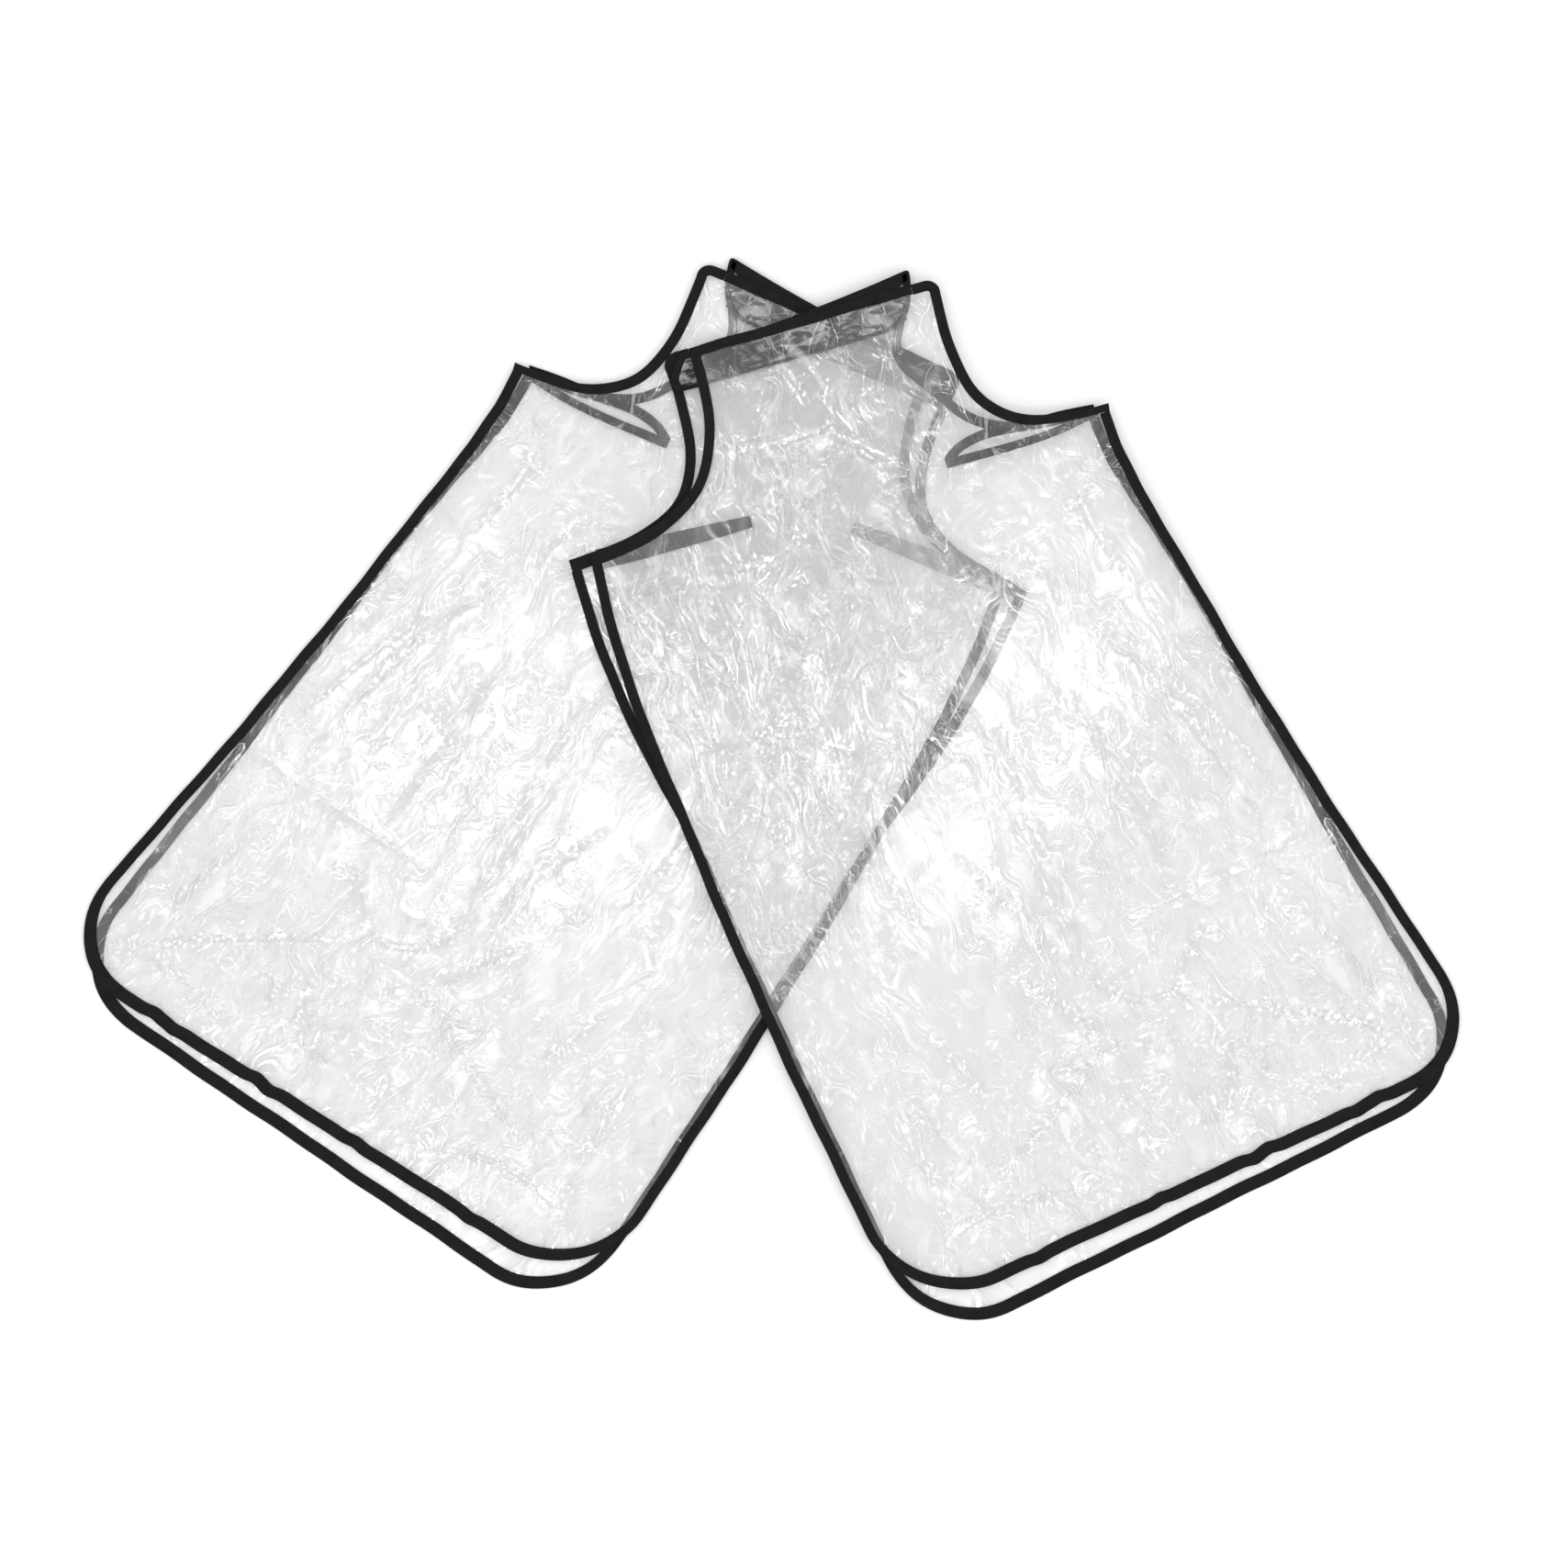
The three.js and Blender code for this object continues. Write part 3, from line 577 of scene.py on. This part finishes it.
def tape_section():
    """The fold's outline, u inwards from the film's edge and v up: a round back and two flat legs."""
    outer = np.linspace(-math.pi / 2, -3 * math.pi / 2, 9)
    inner = outer[::-1]
    reach, mid = TAPE_HEIGHT / 2, TAPE_HEIGHT / 2
    back = TAPE_STANDS - reach
    stitch = STITCH_LINE
    legs = np.array((-4.5, -1.0, stitch - 0.7, stitch, stitch + 0.7, TAPE_GRIP - 0.3, TAPE_GRIP))
    sunk = np.array((0, 0.06, 0, 0.16, 0, 0.05, 0.2))
    low = np.stack([legs[::-1], sunk[::-1]], axis=1)
    bow = np.stack([-back + reach * np.cos(outer), mid + reach * np.sin(outer)], axis=1)
    top = np.stack([legs, TAPE_HEIGHT - sunk], axis=1)
    hollow = reach - TAPE_WALL
    cave = np.stack([-back + hollow * np.cos(inner), mid + hollow * np.sin(inner)], axis=1)
    return np.vstack([low, bow, top, [(TAPE_GRIP, mid + hollow)], cave, [(TAPE_GRIP, mid - hollow)]])


def swept(name, stations, material, closed=False):
    """Joins like loops of points, one for each station, into a closed surface with fanned ends."""
    count, size = stations.shape[:2]
    i = np.arange(count * size).reshape(count, size)
    if closed:
        i = np.vstack([i, i[:1]])
    ring = np.roll(i, -1, axis=1)
    quads = np.stack([i[:-1], ring[:-1], ring[1:], i[1:]], axis=-1).reshape(-1, 4)
    points = stations.reshape(-1, 3)
    if not closed:
        hubs = np.stack([stations[0].mean(axis=0), stations[-1].mean(axis=0)])
        points = np.vstack([points, hubs])
        first, last = count * size, count * size + 1
        near = np.stack([np.full(size, first), ring[0], i[0], i[0]], axis=-1)
        far = np.stack([np.full(size, last), i[-1], ring[-1], ring[-1]], axis=-1)
        return triangles_and_quads(name, points, quads, near[:, :3], far[:, :3], material)
    return facing_out(new_piece(name, points, quads, material))


def triangles_and_quads(name, points, quads, near, far, material):
    """A mesh object of quads and two fans of triangles."""
    mesh = bpy.data.meshes.new(name)
    mesh.from_pydata(points.tolist(), [], quads.tolist() + near.tolist() + far.tolist())
    mesh.polygons.foreach_set("use_smooth", np.arange(len(mesh.polygons)) < len(quads))
    mesh.materials.append(material)
    piece = bpy.data.objects.new(name, mesh)
    scene.collection.objects.link(piece)
    return facing_out(piece)


def facing_out(piece):
    """Turns every face outwards if the closed mesh measures as inside out."""
    mesh = piece.data
    mesh.calc_loop_triangles()
    points = np.zeros(len(mesh.vertices) * 3)
    mesh.vertices.foreach_get("co", points)
    corner = np.zeros(len(mesh.loop_triangles) * 3, np.int32)
    mesh.loop_triangles.foreach_get("vertices", corner)
    a, b, c = points.reshape(-1, 3)[corner.reshape(-1, 3)].transpose(1, 0, 2)
    if (a * np.cross(b, c)).sum() < 0:
        mesh.flip_normals()
    return piece


def inward_of(path, inward, closed=False):
    """Unit directions to the film side at each point of a p, q path."""
    if closed:
        ahead = np.roll(path, -1, axis=0) - np.roll(path, 1, axis=0)
    else:
        ahead = np.gradient(path, axis=0)
    ahead /= np.linalg.norm(ahead, axis=1, keepdims=True)
    return np.stack([-ahead[:, 1], ahead[:, 0]], axis=1) * inward


def tape(name, cape, layer, path, inward, phase, kinks=()):
    """Carries the folded section along a p, q path, wandering sideways as two sines and the hem's kinks."""
    section = tape_section()
    run = run_along(path)
    wander = 0.45 * np.sin(run / 31 + phase) + 0.3 * np.sin(run / 11.7 + 2 * phase)
    at_hem = path[:, 1] > LENGTH[layer] - 20
    for at, much in kinks:
        wander = wander + at_hem * much * np.exp(-(((path[:, 0] - at) / 9) ** 2))
    side = inward_of(path, inward)
    broad = 1 + HEM_BROADER * smooth((path[:, 1:] - LENGTH[layer] + CORNER_RADIUS) / CORNER_RADIUS)
    u = section[:, 0][None, :] * broad + wander[:, None]
    p = path[:, :1] + side[:, :1] * u
    q = path[:, 1:] + side[:, 1:] * u
    v = section[:, 1][None, :] + 0.08 * np.sin(run / 23 + phase)[:, None]
    piece = swept(name, places(cape, layer, p, q, v), tape_black)
    length = np.broadcast_to(run[:, None], p.shape)
    width = np.broadcast_to(section[:, 0][None, :], p.shape)
    uv = np.stack([length, width], axis=-1).reshape(-1, 2) * MM
    add_uv(piece, "run", np.vstack([uv, uv[:1], uv[-1:]]))
    return piece


tape_black = tape_material()
tapes = {}
for cape, (back_body, front_body, mirror, _, _) in CAPES.items():
    for layer, body in (("back", back_body), ("front", front_body)):
        armhole, skirt = armhole_edge(layer, ARMHOLE_STEP), skirt_edge(layer)
        neck = np.stack([np.linspace(-NECK_TAPE_END, NECK_TAPE_END, 60), np.full(60, NECK_TOP)], axis=1)
        runs = {"neck": (neck, 1, ())}
        for side, sign in (("left", -mirror), ("right", mirror)):
            turn = np.linspace(0, math.pi / 2, 9)[:, None]
            bend = np.hstack([np.sin(turn) - 1, 1 - np.cos(turn)]) * NECK_BEND + (NECK_HALF, NECK_TOP)
            lead = np.array([(NECK_TAPE_END + past, NECK_TOP) for past in NECK_LEAD])
            run = np.vstack([lead, bend, armhole[armhole[:, 1] > NECK_TOP + NECK_BEND + 1]])
            run = np.vstack([run, run[-1] + (run[-1] - run[-2]) * TAPE_STANDS / ARMHOLE_STEP])
            runs[f"{side}_armhole"] = (run * (sign, 1), sign, ())
        start = UNDERARM_DROP + SKIRT_SETBACK
        below = skirt[skirt[:, 1] > start + 1]
        head = skirt[0] + (skirt[1] - skirt[0]) * SKIRT_SETBACK / (skirt[1, 1] - skirt[0, 1])
        down = np.vstack([head, below])
        across = np.linspace(down[-1, 0], -down[-1, 0], 130)[1:-1]
        hem = np.stack([across, np.full(len(across), LENGTH[layer])], axis=1)
        hem_kinks = HEM_KINKS if layer == "front" else ()
        runs["skirt"] = (np.vstack([down, hem, down[::-1] * (-1, 1)]), 1, hem_kinks)
        for k, (edge, (path, inward, kinks)) in enumerate(runs.items()):
            name, phase = f"{cape}_{layer}_{edge}_tape", 0.9 * k + len(layer)
            piece = tape(name, cape, layer, path, inward, phase, kinks)
            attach(piece, body)
            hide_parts(f"{cape}_{layer}_{edge}_binding")
            tapes.setdefault((cape, layer), []).append(piece)

# Each panel is a sheet cut flat: here its flat area, and the panel that it lies on, if any.
for (cape, layer), piece in films.items():
    edge = np.vstack([armhole_edge(layer), skirt_edge(layer)[1:]]) * MM
    area = 2 * float(np.sum((edge[1:, 0] + edge[:-1, 0]) / 2 * np.diff(edge[:, 1])))
    below = {"front": f"{cape}_back_film", "back": "lower_front_film"}[layer]
    rests = [] if (cape, layer) == ("lower", "back") else [below]


# ---------------------------------------------------------------------------------------------------------
# Collar bands: two long bands lie along the neck, one on each panel. Each is black cloth faced with glossy
# vinyl and bound all round in the same black tape, broad along the top and narrow along the bottom.
COLLAR_LEFT_END = ((-142, 0), (-166, 22), (-170, 43), (-150, 43))  # cubic, top to bottom
COLLAR_RIGHT_END = ((138, -21), (134, 14), (122, 42), (96, 43))
COLLAR_BOW = 20.0  # the top edge curves up to the open end by this much, as a square
BAND_LOW = {"back": 2.55, "front": 6.5}
BAND_BODY, BAND_EDGING = 1.0, 1.35
EDGING = {  # widths at equal steps along each side
    "top": (9.0, 11.0, 12.0, 13.5, 15.0, 17.0, 18.5, 19.5, 11.5),
    "right": (10.5, 8.0, 7.0),
    "bottom": (4.5, 4.5),
    "left": (8.0, 10.0, 9.0),
}
EDGING_STEP, EASE_STEPS = 1.6, 13


def band_place(t, f):
    """A place in the band: t along it and f from its top to its bottom, between its two end curves."""
    left, right = cubic(COLLAR_LEFT_END, f), cubic(COLLAR_RIGHT_END, f)
    place = left + (right - left) * np.asarray(t)[..., None]
    bow = COLLAR_BOW * (np.asarray(t) - np.asarray(t) ** 2) * (1 - np.asarray(f))
    return place + np.stack([np.zeros_like(bow), bow], axis=-1)


def facing_material():
    """Black cloth behind glossy vinyl: smears of grey light along the band over near black."""
    material, shader, start = new_material("collar_facing", Coat_Roughness=0.1, Specular_IOR_Level=0.2)
    own = start.node("ShaderNodeUVMap", {"uv_map": "run"})
    along = own.moved(stretch=(0.35, 1.0, 1.0))
    smear = along.noise(75.0, 5.0, 1.5).between(0.44, 0.6)
    line = (along.moved(by=(2, 1, 0)).noise(26.0, 3.0, 1.4) - 0.5).size().between(0.014, 0.0)
    weave = own.noise(1500.0, 1.0)
    mottled = own.moved(by=(3, 5, 0)).noise(22.0, 3.0, 0.5).between(0.35, 0.65)
    tone = (smear * mottled * 0.6 + smear * 0.02).most(line * (mottled * 0.7 + 0.3))
    # The grey smears and streaks are painted reflections of light on the glossy vinyl, mottled at random.
    feed(shader, Base_Color=tone.shade((0.006, 0.006, 0.007), (0.5, 0.5, 0.5)))
    feed(shader, Roughness=0.22 + weave * 0.2)
    feed(shader, Coat_Weight=mottled * 0.4 + 0.05)
    feed(shader, Normal=(smear + line * 1.5 + weave * 0.1).bump(0.0012, 0.5))
    return material


def shell_of(name, cape, layer, p, q, low, thick, material):
    """A closed plate over a grid of places, between the heights low and low + thick."""
    bottom = places(cape, layer, p, q, low).reshape(-1, 3)
    top = places(cape, layer, p, q, low + thick).reshape(-1, 3)
    piece = facing_out(new_piece(name, np.vstack([bottom, top]), plate_faces(*p.shape), material))
    add_uv(piece, "run", np.tile(np.stack([p, q], axis=-1).reshape(-1, 2) * MM, (2, 1)))
    return piece


def eased(columns, mode):
    """Each column averaged under a bell-shaped window; mode says how it goes on past its ends."""
    bell, pad = np.hanning(EASE_STEPS + 2), EASE_STEPS // 2
    padded = np.pad(columns, ((pad, pad), (0, 0)), mode)
    return np.stack([np.convolve(column, bell[1:-1] / bell.sum(), "valid") for column in padded.T], axis=1)


def edging(name, cape, low, material):
    """The tape round the band: a flat round-edged section carried round its outline, broad and narrow."""
    t, f = np.linspace(0, 1, 70), np.linspace(0, 1, 26)
    ones, zeros = np.ones_like, np.zeros_like
    sides = {
        "top": band_place(t, zeros(t)),
        "right": band_place(ones(f), f),
        "bottom": band_place(t[::-1], ones(t)),
        "left": band_place(zeros(f), f[::-1]),
    }
    path = np.vstack([side[:-1] for side in sides.values()])
    shares = [np.linspace(0, 1, len(side) - 1) for side in sides.values()]
    wide = [np.interp(s, np.linspace(0, 1, len(w)), w) for s, w in zip(shares, EDGING.values())]
    loop = np.column_stack([path, np.concatenate(wide)])
    run = run_along(np.vstack([path, path[:1]]))
    at = np.arange(0, run[-1], EDGING_STEP)
    loop = np.stack([np.interp(at, run, np.append(loop[:, k], loop[0, k])) for k in range(3)], axis=1)
    loop = eased(loop, "wrap")
    path, wide = loop[:, :2], loop[:, 2]
    side = inward_of(path, 1, closed=True)
    turn = np.linspace(-math.pi / 2, -3 * math.pi / 2, 7)
    u = np.concatenate([[1.0, 0.96, 0.5], zeros(turn), [0.5, 0.96, 1.0]])[None, :] * (wide[:, None] - 0.5)
    u = u + np.concatenate([[0, 0, 0], 0.5 + 0.5 * np.cos(turn), [0, 0, 0]])[None, :]
    v = np.concatenate([[0.3, 0, 0], 0.5 + 0.5 * np.sin(turn), [1, 1, 0.7]])[None, :] * BAND_EDGING + low
    p = path[:, :1] + side[:, :1] * u
    q = path[:, 1:] + side[:, 1:] * u
    piece = swept(name, places(cape, "collar", p, q, np.broadcast_to(v, p.shape)), material, closed=True)
    run = run_along(path)[:, None]
    uv = np.stack([np.broadcast_to(run, u.shape), u - 1.0], axis=-1).reshape(-1, 2) * MM
    add_uv(piece, "run", uv)
    return piece


facing = facing_material()
for cape, (back_body, front_body, *_) in CAPES.items():
    for layer, body in (("back", back_body), ("front", front_body)):
        t, f = np.meshgrid(np.linspace(0.02, 0.98, 90), np.linspace(0.06, 0.96, 16), indexing="ij")
        place = band_place(t, f)
        ripple = 0.12 * np.sin(place[..., 0] / 9 + place[..., 1] / 5) * np.sin(f * math.pi)
        low = BAND_LOW[layer] + 0.17
        name = f"{cape}_collar_{layer}"
        p, q = place[..., 0], place[..., 1]
        band = shell_of(f"{name}_facing", cape, "collar", p, q, low + ripple, BAND_BODY, facing)
        bound = edging(f"{name}_edging", cape, BAND_LOW[layer], tape_black)
        for piece in (band, bound):
            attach(piece, body)
            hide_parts(f"{name}_band")
        size = np.ptp(place.reshape(-1, 2), axis=0) * MM
        wide_steps, long_steps = np.gradient(place, axis=1), np.gradient(place, axis=0)
        cells = wide_steps[..., 0] * long_steps[..., 1] - wide_steps[..., 1] * long_steps[..., 0]
        area = min(float(np.abs(cells).sum()) * MM * MM, 0.999 * float(size.prod()))


# ---------------------------------------------------------------------------------------------------------
# Closure: a patch of loop tape on the back band and one of hook tape on the front band, at the collar's open
# end, sewn round their edges. The loop face is a brushed pile and the hook face a grid of small bent hooks.
PATCH_LEFT, PATCH_RIGHT, PATCH_TOP, PATCH_BOTTOM = 80.0, 120.0, 8.0, 35.0
PATCH_LOW = {"loop": 4.0, "hook": 5.35}
PATCH_BACKING, HOOK_PITCH = 0.5, 1.9


def patch_material(kind):
    """Black nylon: the loop patch is mottled pile, the hook patch is smoother and shinier."""
    material, shader, start = new_material(f"black_{kind}_tape", Specular_IOR_Level=0.4)
    own = start.node("ShaderNodeUVMap", {"uv_map": "run"})
    pile = own.noise(700.0 if kind == "loop" else 250.0, 3.0, 1.0)
    feed(shader, Base_Color=pile.between(0.3, 0.7).shade((0.006, 0.006, 0.007), (0.02, 0.02, 0.021)))
    feed(shader, Roughness=pile * 0.3 + (0.65 if kind == "loop" else 0.35))
    feed(shader, Normal=pile.bump(0.0005, 0.8))
    return material


def patch_grid(step):
    """Places over the patch, step apart."""
    across = np.arange(PATCH_LEFT, PATCH_RIGHT + 0.01, step)
    return np.meshgrid(across, np.arange(PATCH_TOP, PATCH_BOTTOM + 0.01, step), indexing="ij")


def hooks(name, cape, low, material):
    """A grid of hooks: each is a four-sided stalk that bends over, carried down from the backing."""
    p0, q0 = patch_grid(HOOK_PITCH)
    inside = (slice(1, -1), slice(1, -1))
    p0, q0 = p0[inside].ravel(), q0[inside].ravel()
    bend = np.array(((0, 0), (0, -0.28), (0.12, -0.42), (0.3, -0.36)))
    square = np.array(((-0.1, -0.1), (0.1, -0.1), (0.1, 0.1), (-0.1, 0.1)))
    p = p0[:, None, None] + bend[None, :, 0, None] + square[None, None, :, 0]
    q = q0[:, None, None] + 0 * bend[None, :, 0, None] + square[None, None, :, 1]
    z = low + bend[None, :, 1, None] + 0 * p
    points = places(cape, "collar", p, q, z).reshape(-1, 3)
    ring = np.arange(12).reshape(3, 4)
    walls = np.stack([ring, np.roll(ring, -1, axis=1), np.roll(ring, -1, axis=1) + 4, ring + 4], axis=-1)
    one = np.vstack([walls.reshape(-1, 4), [[3, 2, 1, 0], [12, 13, 14, 15]]])
    faces = (one[None] + 16 * np.arange(len(p0))[:, None, None]).reshape(-1, 4)
    piece = facing_out(new_piece(name, points, faces, material))
    add_uv(piece, "run", np.stack([p, q + 0 * p], axis=-1).reshape(-1, 2) * MM)
    return piece


patch_finish = {kind: patch_material(kind) for kind in PATCH_LOW}
for cape, (back_body, front_body, *_) in CAPES.items():
    p, q = patch_grid(0.75)
    rng = np.random.default_rng(8)
    edge = np.minimum(p - PATCH_LEFT, PATCH_RIGHT - p)
    edge = np.minimum(edge, np.minimum(q - PATCH_TOP, PATCH_BOTTOM - q))
    pile = (0.15 + 0.25 * rng.random(p.shape)) * np.clip(edge / 2, 0, 1)
    thick = PATCH_BACKING + pile
    low, finish = PATCH_LOW["loop"], patch_finish["loop"]
    loop = shell_of(f"{cape}_loop_patch", cape, "collar", p, q, low, thick, finish)
    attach(loop, back_body)
    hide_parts(f"{cape}_collar_loop_tape")
    base = PATCH_LOW["hook"] + 0.45
    hook = shell_of(f"{cape}_hook_patch", cape, "collar", p, q, base, PATCH_BACKING, patch_finish["hook"])
    barbs = hooks(f"{cape}_hooks", cape, base + 0.02, patch_finish["hook"])
    for piece in (hook, barbs):
        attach(piece, front_body)
        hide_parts(f"{cape}_collar_hook_tape")


# ---------------------------------------------------------------------------------------------------------
# Side straps: one black tape under each arm, folded in two. One arm is sewn to the back panel's underarm
# corner and the other to the front's, and the fold lies inwards, flattened, between the panels.
STRAP_HALF, STRAP_THICK, STRAP_ROUND = 6.0, 0.9, 0.4
STRAP_SEWN, STRAP_STITCH, FOLD_SQUARE, STRAP_STATIONS = 290.0, 4.5, 9.0, 190
STRAP_ROUTES = {  # p, q and height of the tape's middle: the back corner, the fold, the front corner
    1: (
        (300, 194, 3.3), (262, 191, 3.4), (215, 190, 3.6), (172, 187, 3.9), (140, 193, 4.2),
        (120, 206, 4.5), (117, 209, 5.0), (121, 210, 5.5),
        (150, 211, 5.8), (200, 213, 6.2), (250, 211, 6.7), (296, 203, 7.2),
    ),
    -1: (
        (300, 197, 3.3), (250, 199, 3.5), (200, 202, 3.8), (150, 205, 4.2),
        (124, 207, 4.5), (117.5, 208, 5.0), (124, 208, 5.5),
        (150, 208, 5.8), (200, 207, 6.3), (250, 206, 6.8), (296, 204, 7.2),
    ),
}


def through(points, count):
    """A smooth curve through the points: a cubic between each two, then resampled in even steps."""
    points = np.array(points, float)
    padded = np.vstack([2 * points[0] - points[1], points, 2 * points[-1] - points[-2]])
    t = np.linspace(0, 1, 12, endpoint=False)[:, None]
    out = []
    for a, b, c, d in zip(padded, padded[1:], padded[2:], padded[3:]):
        square, cube = 2 * a - 5 * b + 4 * c - d, 3 * b - a - 3 * c + d
        out.append(0.5 * (2 * b + (c - a) * t + square * t**2 + cube * t**3))
    line = np.vstack(out + [points[-1:]])
    run = run_along(line)
    at = np.linspace(0, run[-1], count)
    return np.stack([np.interp(at, run, line[:, k]) for k in range(3)], axis=1), at


def strap(cape, side, sign):
    """A flat round-edged section carried along each arm of the route, its width level with the table."""
    line, run = through(STRAP_ROUTES[sign], STRAP_STATIONS)
    ahead = np.gradient(line, axis=0)
    flat = ahead[:, :2] / np.maximum(1e-6, np.linalg.norm(ahead[:, :2], axis=1, keepdims=True))
    # The width's direction turns over with the fold, so it is eased through the short turn.
    across = np.stack([-flat[:, 1], flat[:, 0]], axis=1)
    fold = int(np.argmin(line[:, 0]))
    across[fold + 1 :] *= -1
    across = eased(across, "edge")
    near = np.exp(-(((run - run[fold]) / FOLD_SQUARE) ** 2))[:, None]
    across = across * (1 - near) + np.sign(across[fold, 1]) * np.array((0, 1)) * near
    across /= np.linalg.norm(across, axis=1, keepdims=True)
    upright = np.column_stack([-flat * ahead[:, 2:], np.linalg.norm(ahead[:, :2], axis=1)])
    upright /= np.linalg.norm(upright, axis=1, keepdims=True)
    turn = np.linspace(0, math.pi, 5)
    reach = STRAP_HALF - STRAP_ROUND + STRAP_ROUND * np.sin(turn)
    right = np.stack([reach, -np.cos(turn) * STRAP_THICK / 2], axis=1)
    section = np.vstack([right, -right])
    wide = section[:, 0][None, :, None]
    thick = section[:, 1][None, :]
    pq = line[:, None, :2] + across[:, None] * wide + upright[:, None, :2] * thick[..., None]
    z = line[:, None, 2] + upright[:, None, 2] * thick
    stations = places(cape, "strap", pq[..., 0] * sign, pq[..., 1], z)
    width = np.broadcast_to(section[:, 0] - (STRAP_STITCH - STITCH_LINE), z.shape)
    uv = np.stack([np.broadcast_to(run[:, None], z.shape), width], axis=-1)
    arms = []
    for arm, part in (("back", slice(0, fold + 1)), ("front", slice(fold, None))):
        piece = swept(f"{cape}_{side}_strap_{arm}_arm", stations[part], strap_black)
        flat_uv = uv[part].reshape(-1, 2) * MM
        add_uv(piece, "run", np.vstack([flat_uv, flat_uv[:1], flat_uv[-1:]]))
        arms.append(piece)
    return arms, line[fold, 0]


strap_black = tape_material()
strap_black.name = "black_strap"
for cape, (back_body, front_body, mirror, *_) in CAPES.items():
    for side, sign in (("left", -mirror), ("right", mirror)):
        arms, fold_p = strap(cape, side, int(sign))
        # Each arm's start and end: the seam, and a point as far past the fold as the seam is before it.
        p = np.array((STRAP_SEWN, 2 * fold_p - STRAP_SEWN)) * sign
        seam, past_fold = places(cape, "strap", p, np.full(2, UNDERARM_DROP), np.zeros(2)).tolist()
        for piece, start, end in zip(arms, (seam, past_fold), (past_fold, seam)):
            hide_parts(f"{cape}_{side}_side_strap")
            if back_body == front_body:
                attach(piece, back_body)
            else:
                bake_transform(piece)


# ---------------------------------------------------------------------------------------------------------
# The white table, the studio light and the camera, which looks straight down.
TABLE_HALF, TABLE_BELOW = 60.0, 0.0002
VIEW_CENTRE, VIEW_WIDTH, VIEW_DISTANCE, SENSOR = (0.0152, 0.0067), 1.819, 5.2, 36


def table_material():
    """Matt white laminate with the faintest grain."""
    material, shader, start = new_material("white_table", Roughness=0.9, Specular_IOR_Level=0.1)
    grain = start.node("ShaderNodeTexCoord", None, 3).noise(400.0, 2.0)
    feed(shader, Base_Color=grain.shade((0.9, 0.9, 0.9), (0.93, 0.93, 0.93)))
    return material


corners = np.array(((-1, -1, 0), (1, -1, 0), (1, 1, 0), (-1, 1, 0))) * TABLE_HALF - (0, 0, TABLE_BELOW)
table = new_piece("table", corners, np.array(((0, 1, 2, 3),)), table_material())

LIGHT_DISTANCE = 4.0
LIGHTS = (  # direction round, angle off the vertical, width, strength
    (3, 9.0, 0.4, 5.5),
    (177, 9.0, 0.4, 5.5),
    (60, 24, 0.35, 7.0),
    (120, 30, 0.35, 7.0),
    (235, 22, 0.35, 8.0),
    (310, 28, 0.35, 8.0),
)
for k, (turn, lean, width, power) in enumerate(LIGHTS):
    lamp = bpy.data.lights.new(f"softbox_{k}", "AREA")
    lamp.shape, lamp.size, lamp.energy = "SQUARE", width, power
    light = bpy.data.objects.new(f"softbox_{k}", lamp)
    turn, lean = math.radians(turn), math.radians(lean)
    off, up = LIGHT_DISTANCE * math.sin(lean), LIGHT_DISTANCE * math.cos(lean)
    light.location = (off * math.cos(turn), off * math.sin(turn), up)
    light.rotation_euler = (0, lean, turn)
    scene.collection.objects.link(light)

world = bpy.data.worlds.new("studio")
world.use_nodes = True
world.node_tree.nodes["Background"].inputs["Color"].default_value = (1, 1, 1, 1)
world.node_tree.nodes["Background"].inputs["Strength"].default_value = 1.0
scene.world = world
scene.view_settings.view_transform = "Standard"
scene.cycles.transparent_max_bounces = 40
scene.cycles.diffuse_bounces = 2

camera = bpy.data.cameras.new("camera")
camera.sensor_width = SENSOR
camera.lens = SENSOR * VIEW_DISTANCE / VIEW_WIDTH
camera.clip_end = 200
eye = bpy.data.objects.new("camera", camera)
eye.location = (*VIEW_CENTRE, VIEW_DISTANCE)
scene.collection.objects.link(eye)
scene.camera = eye
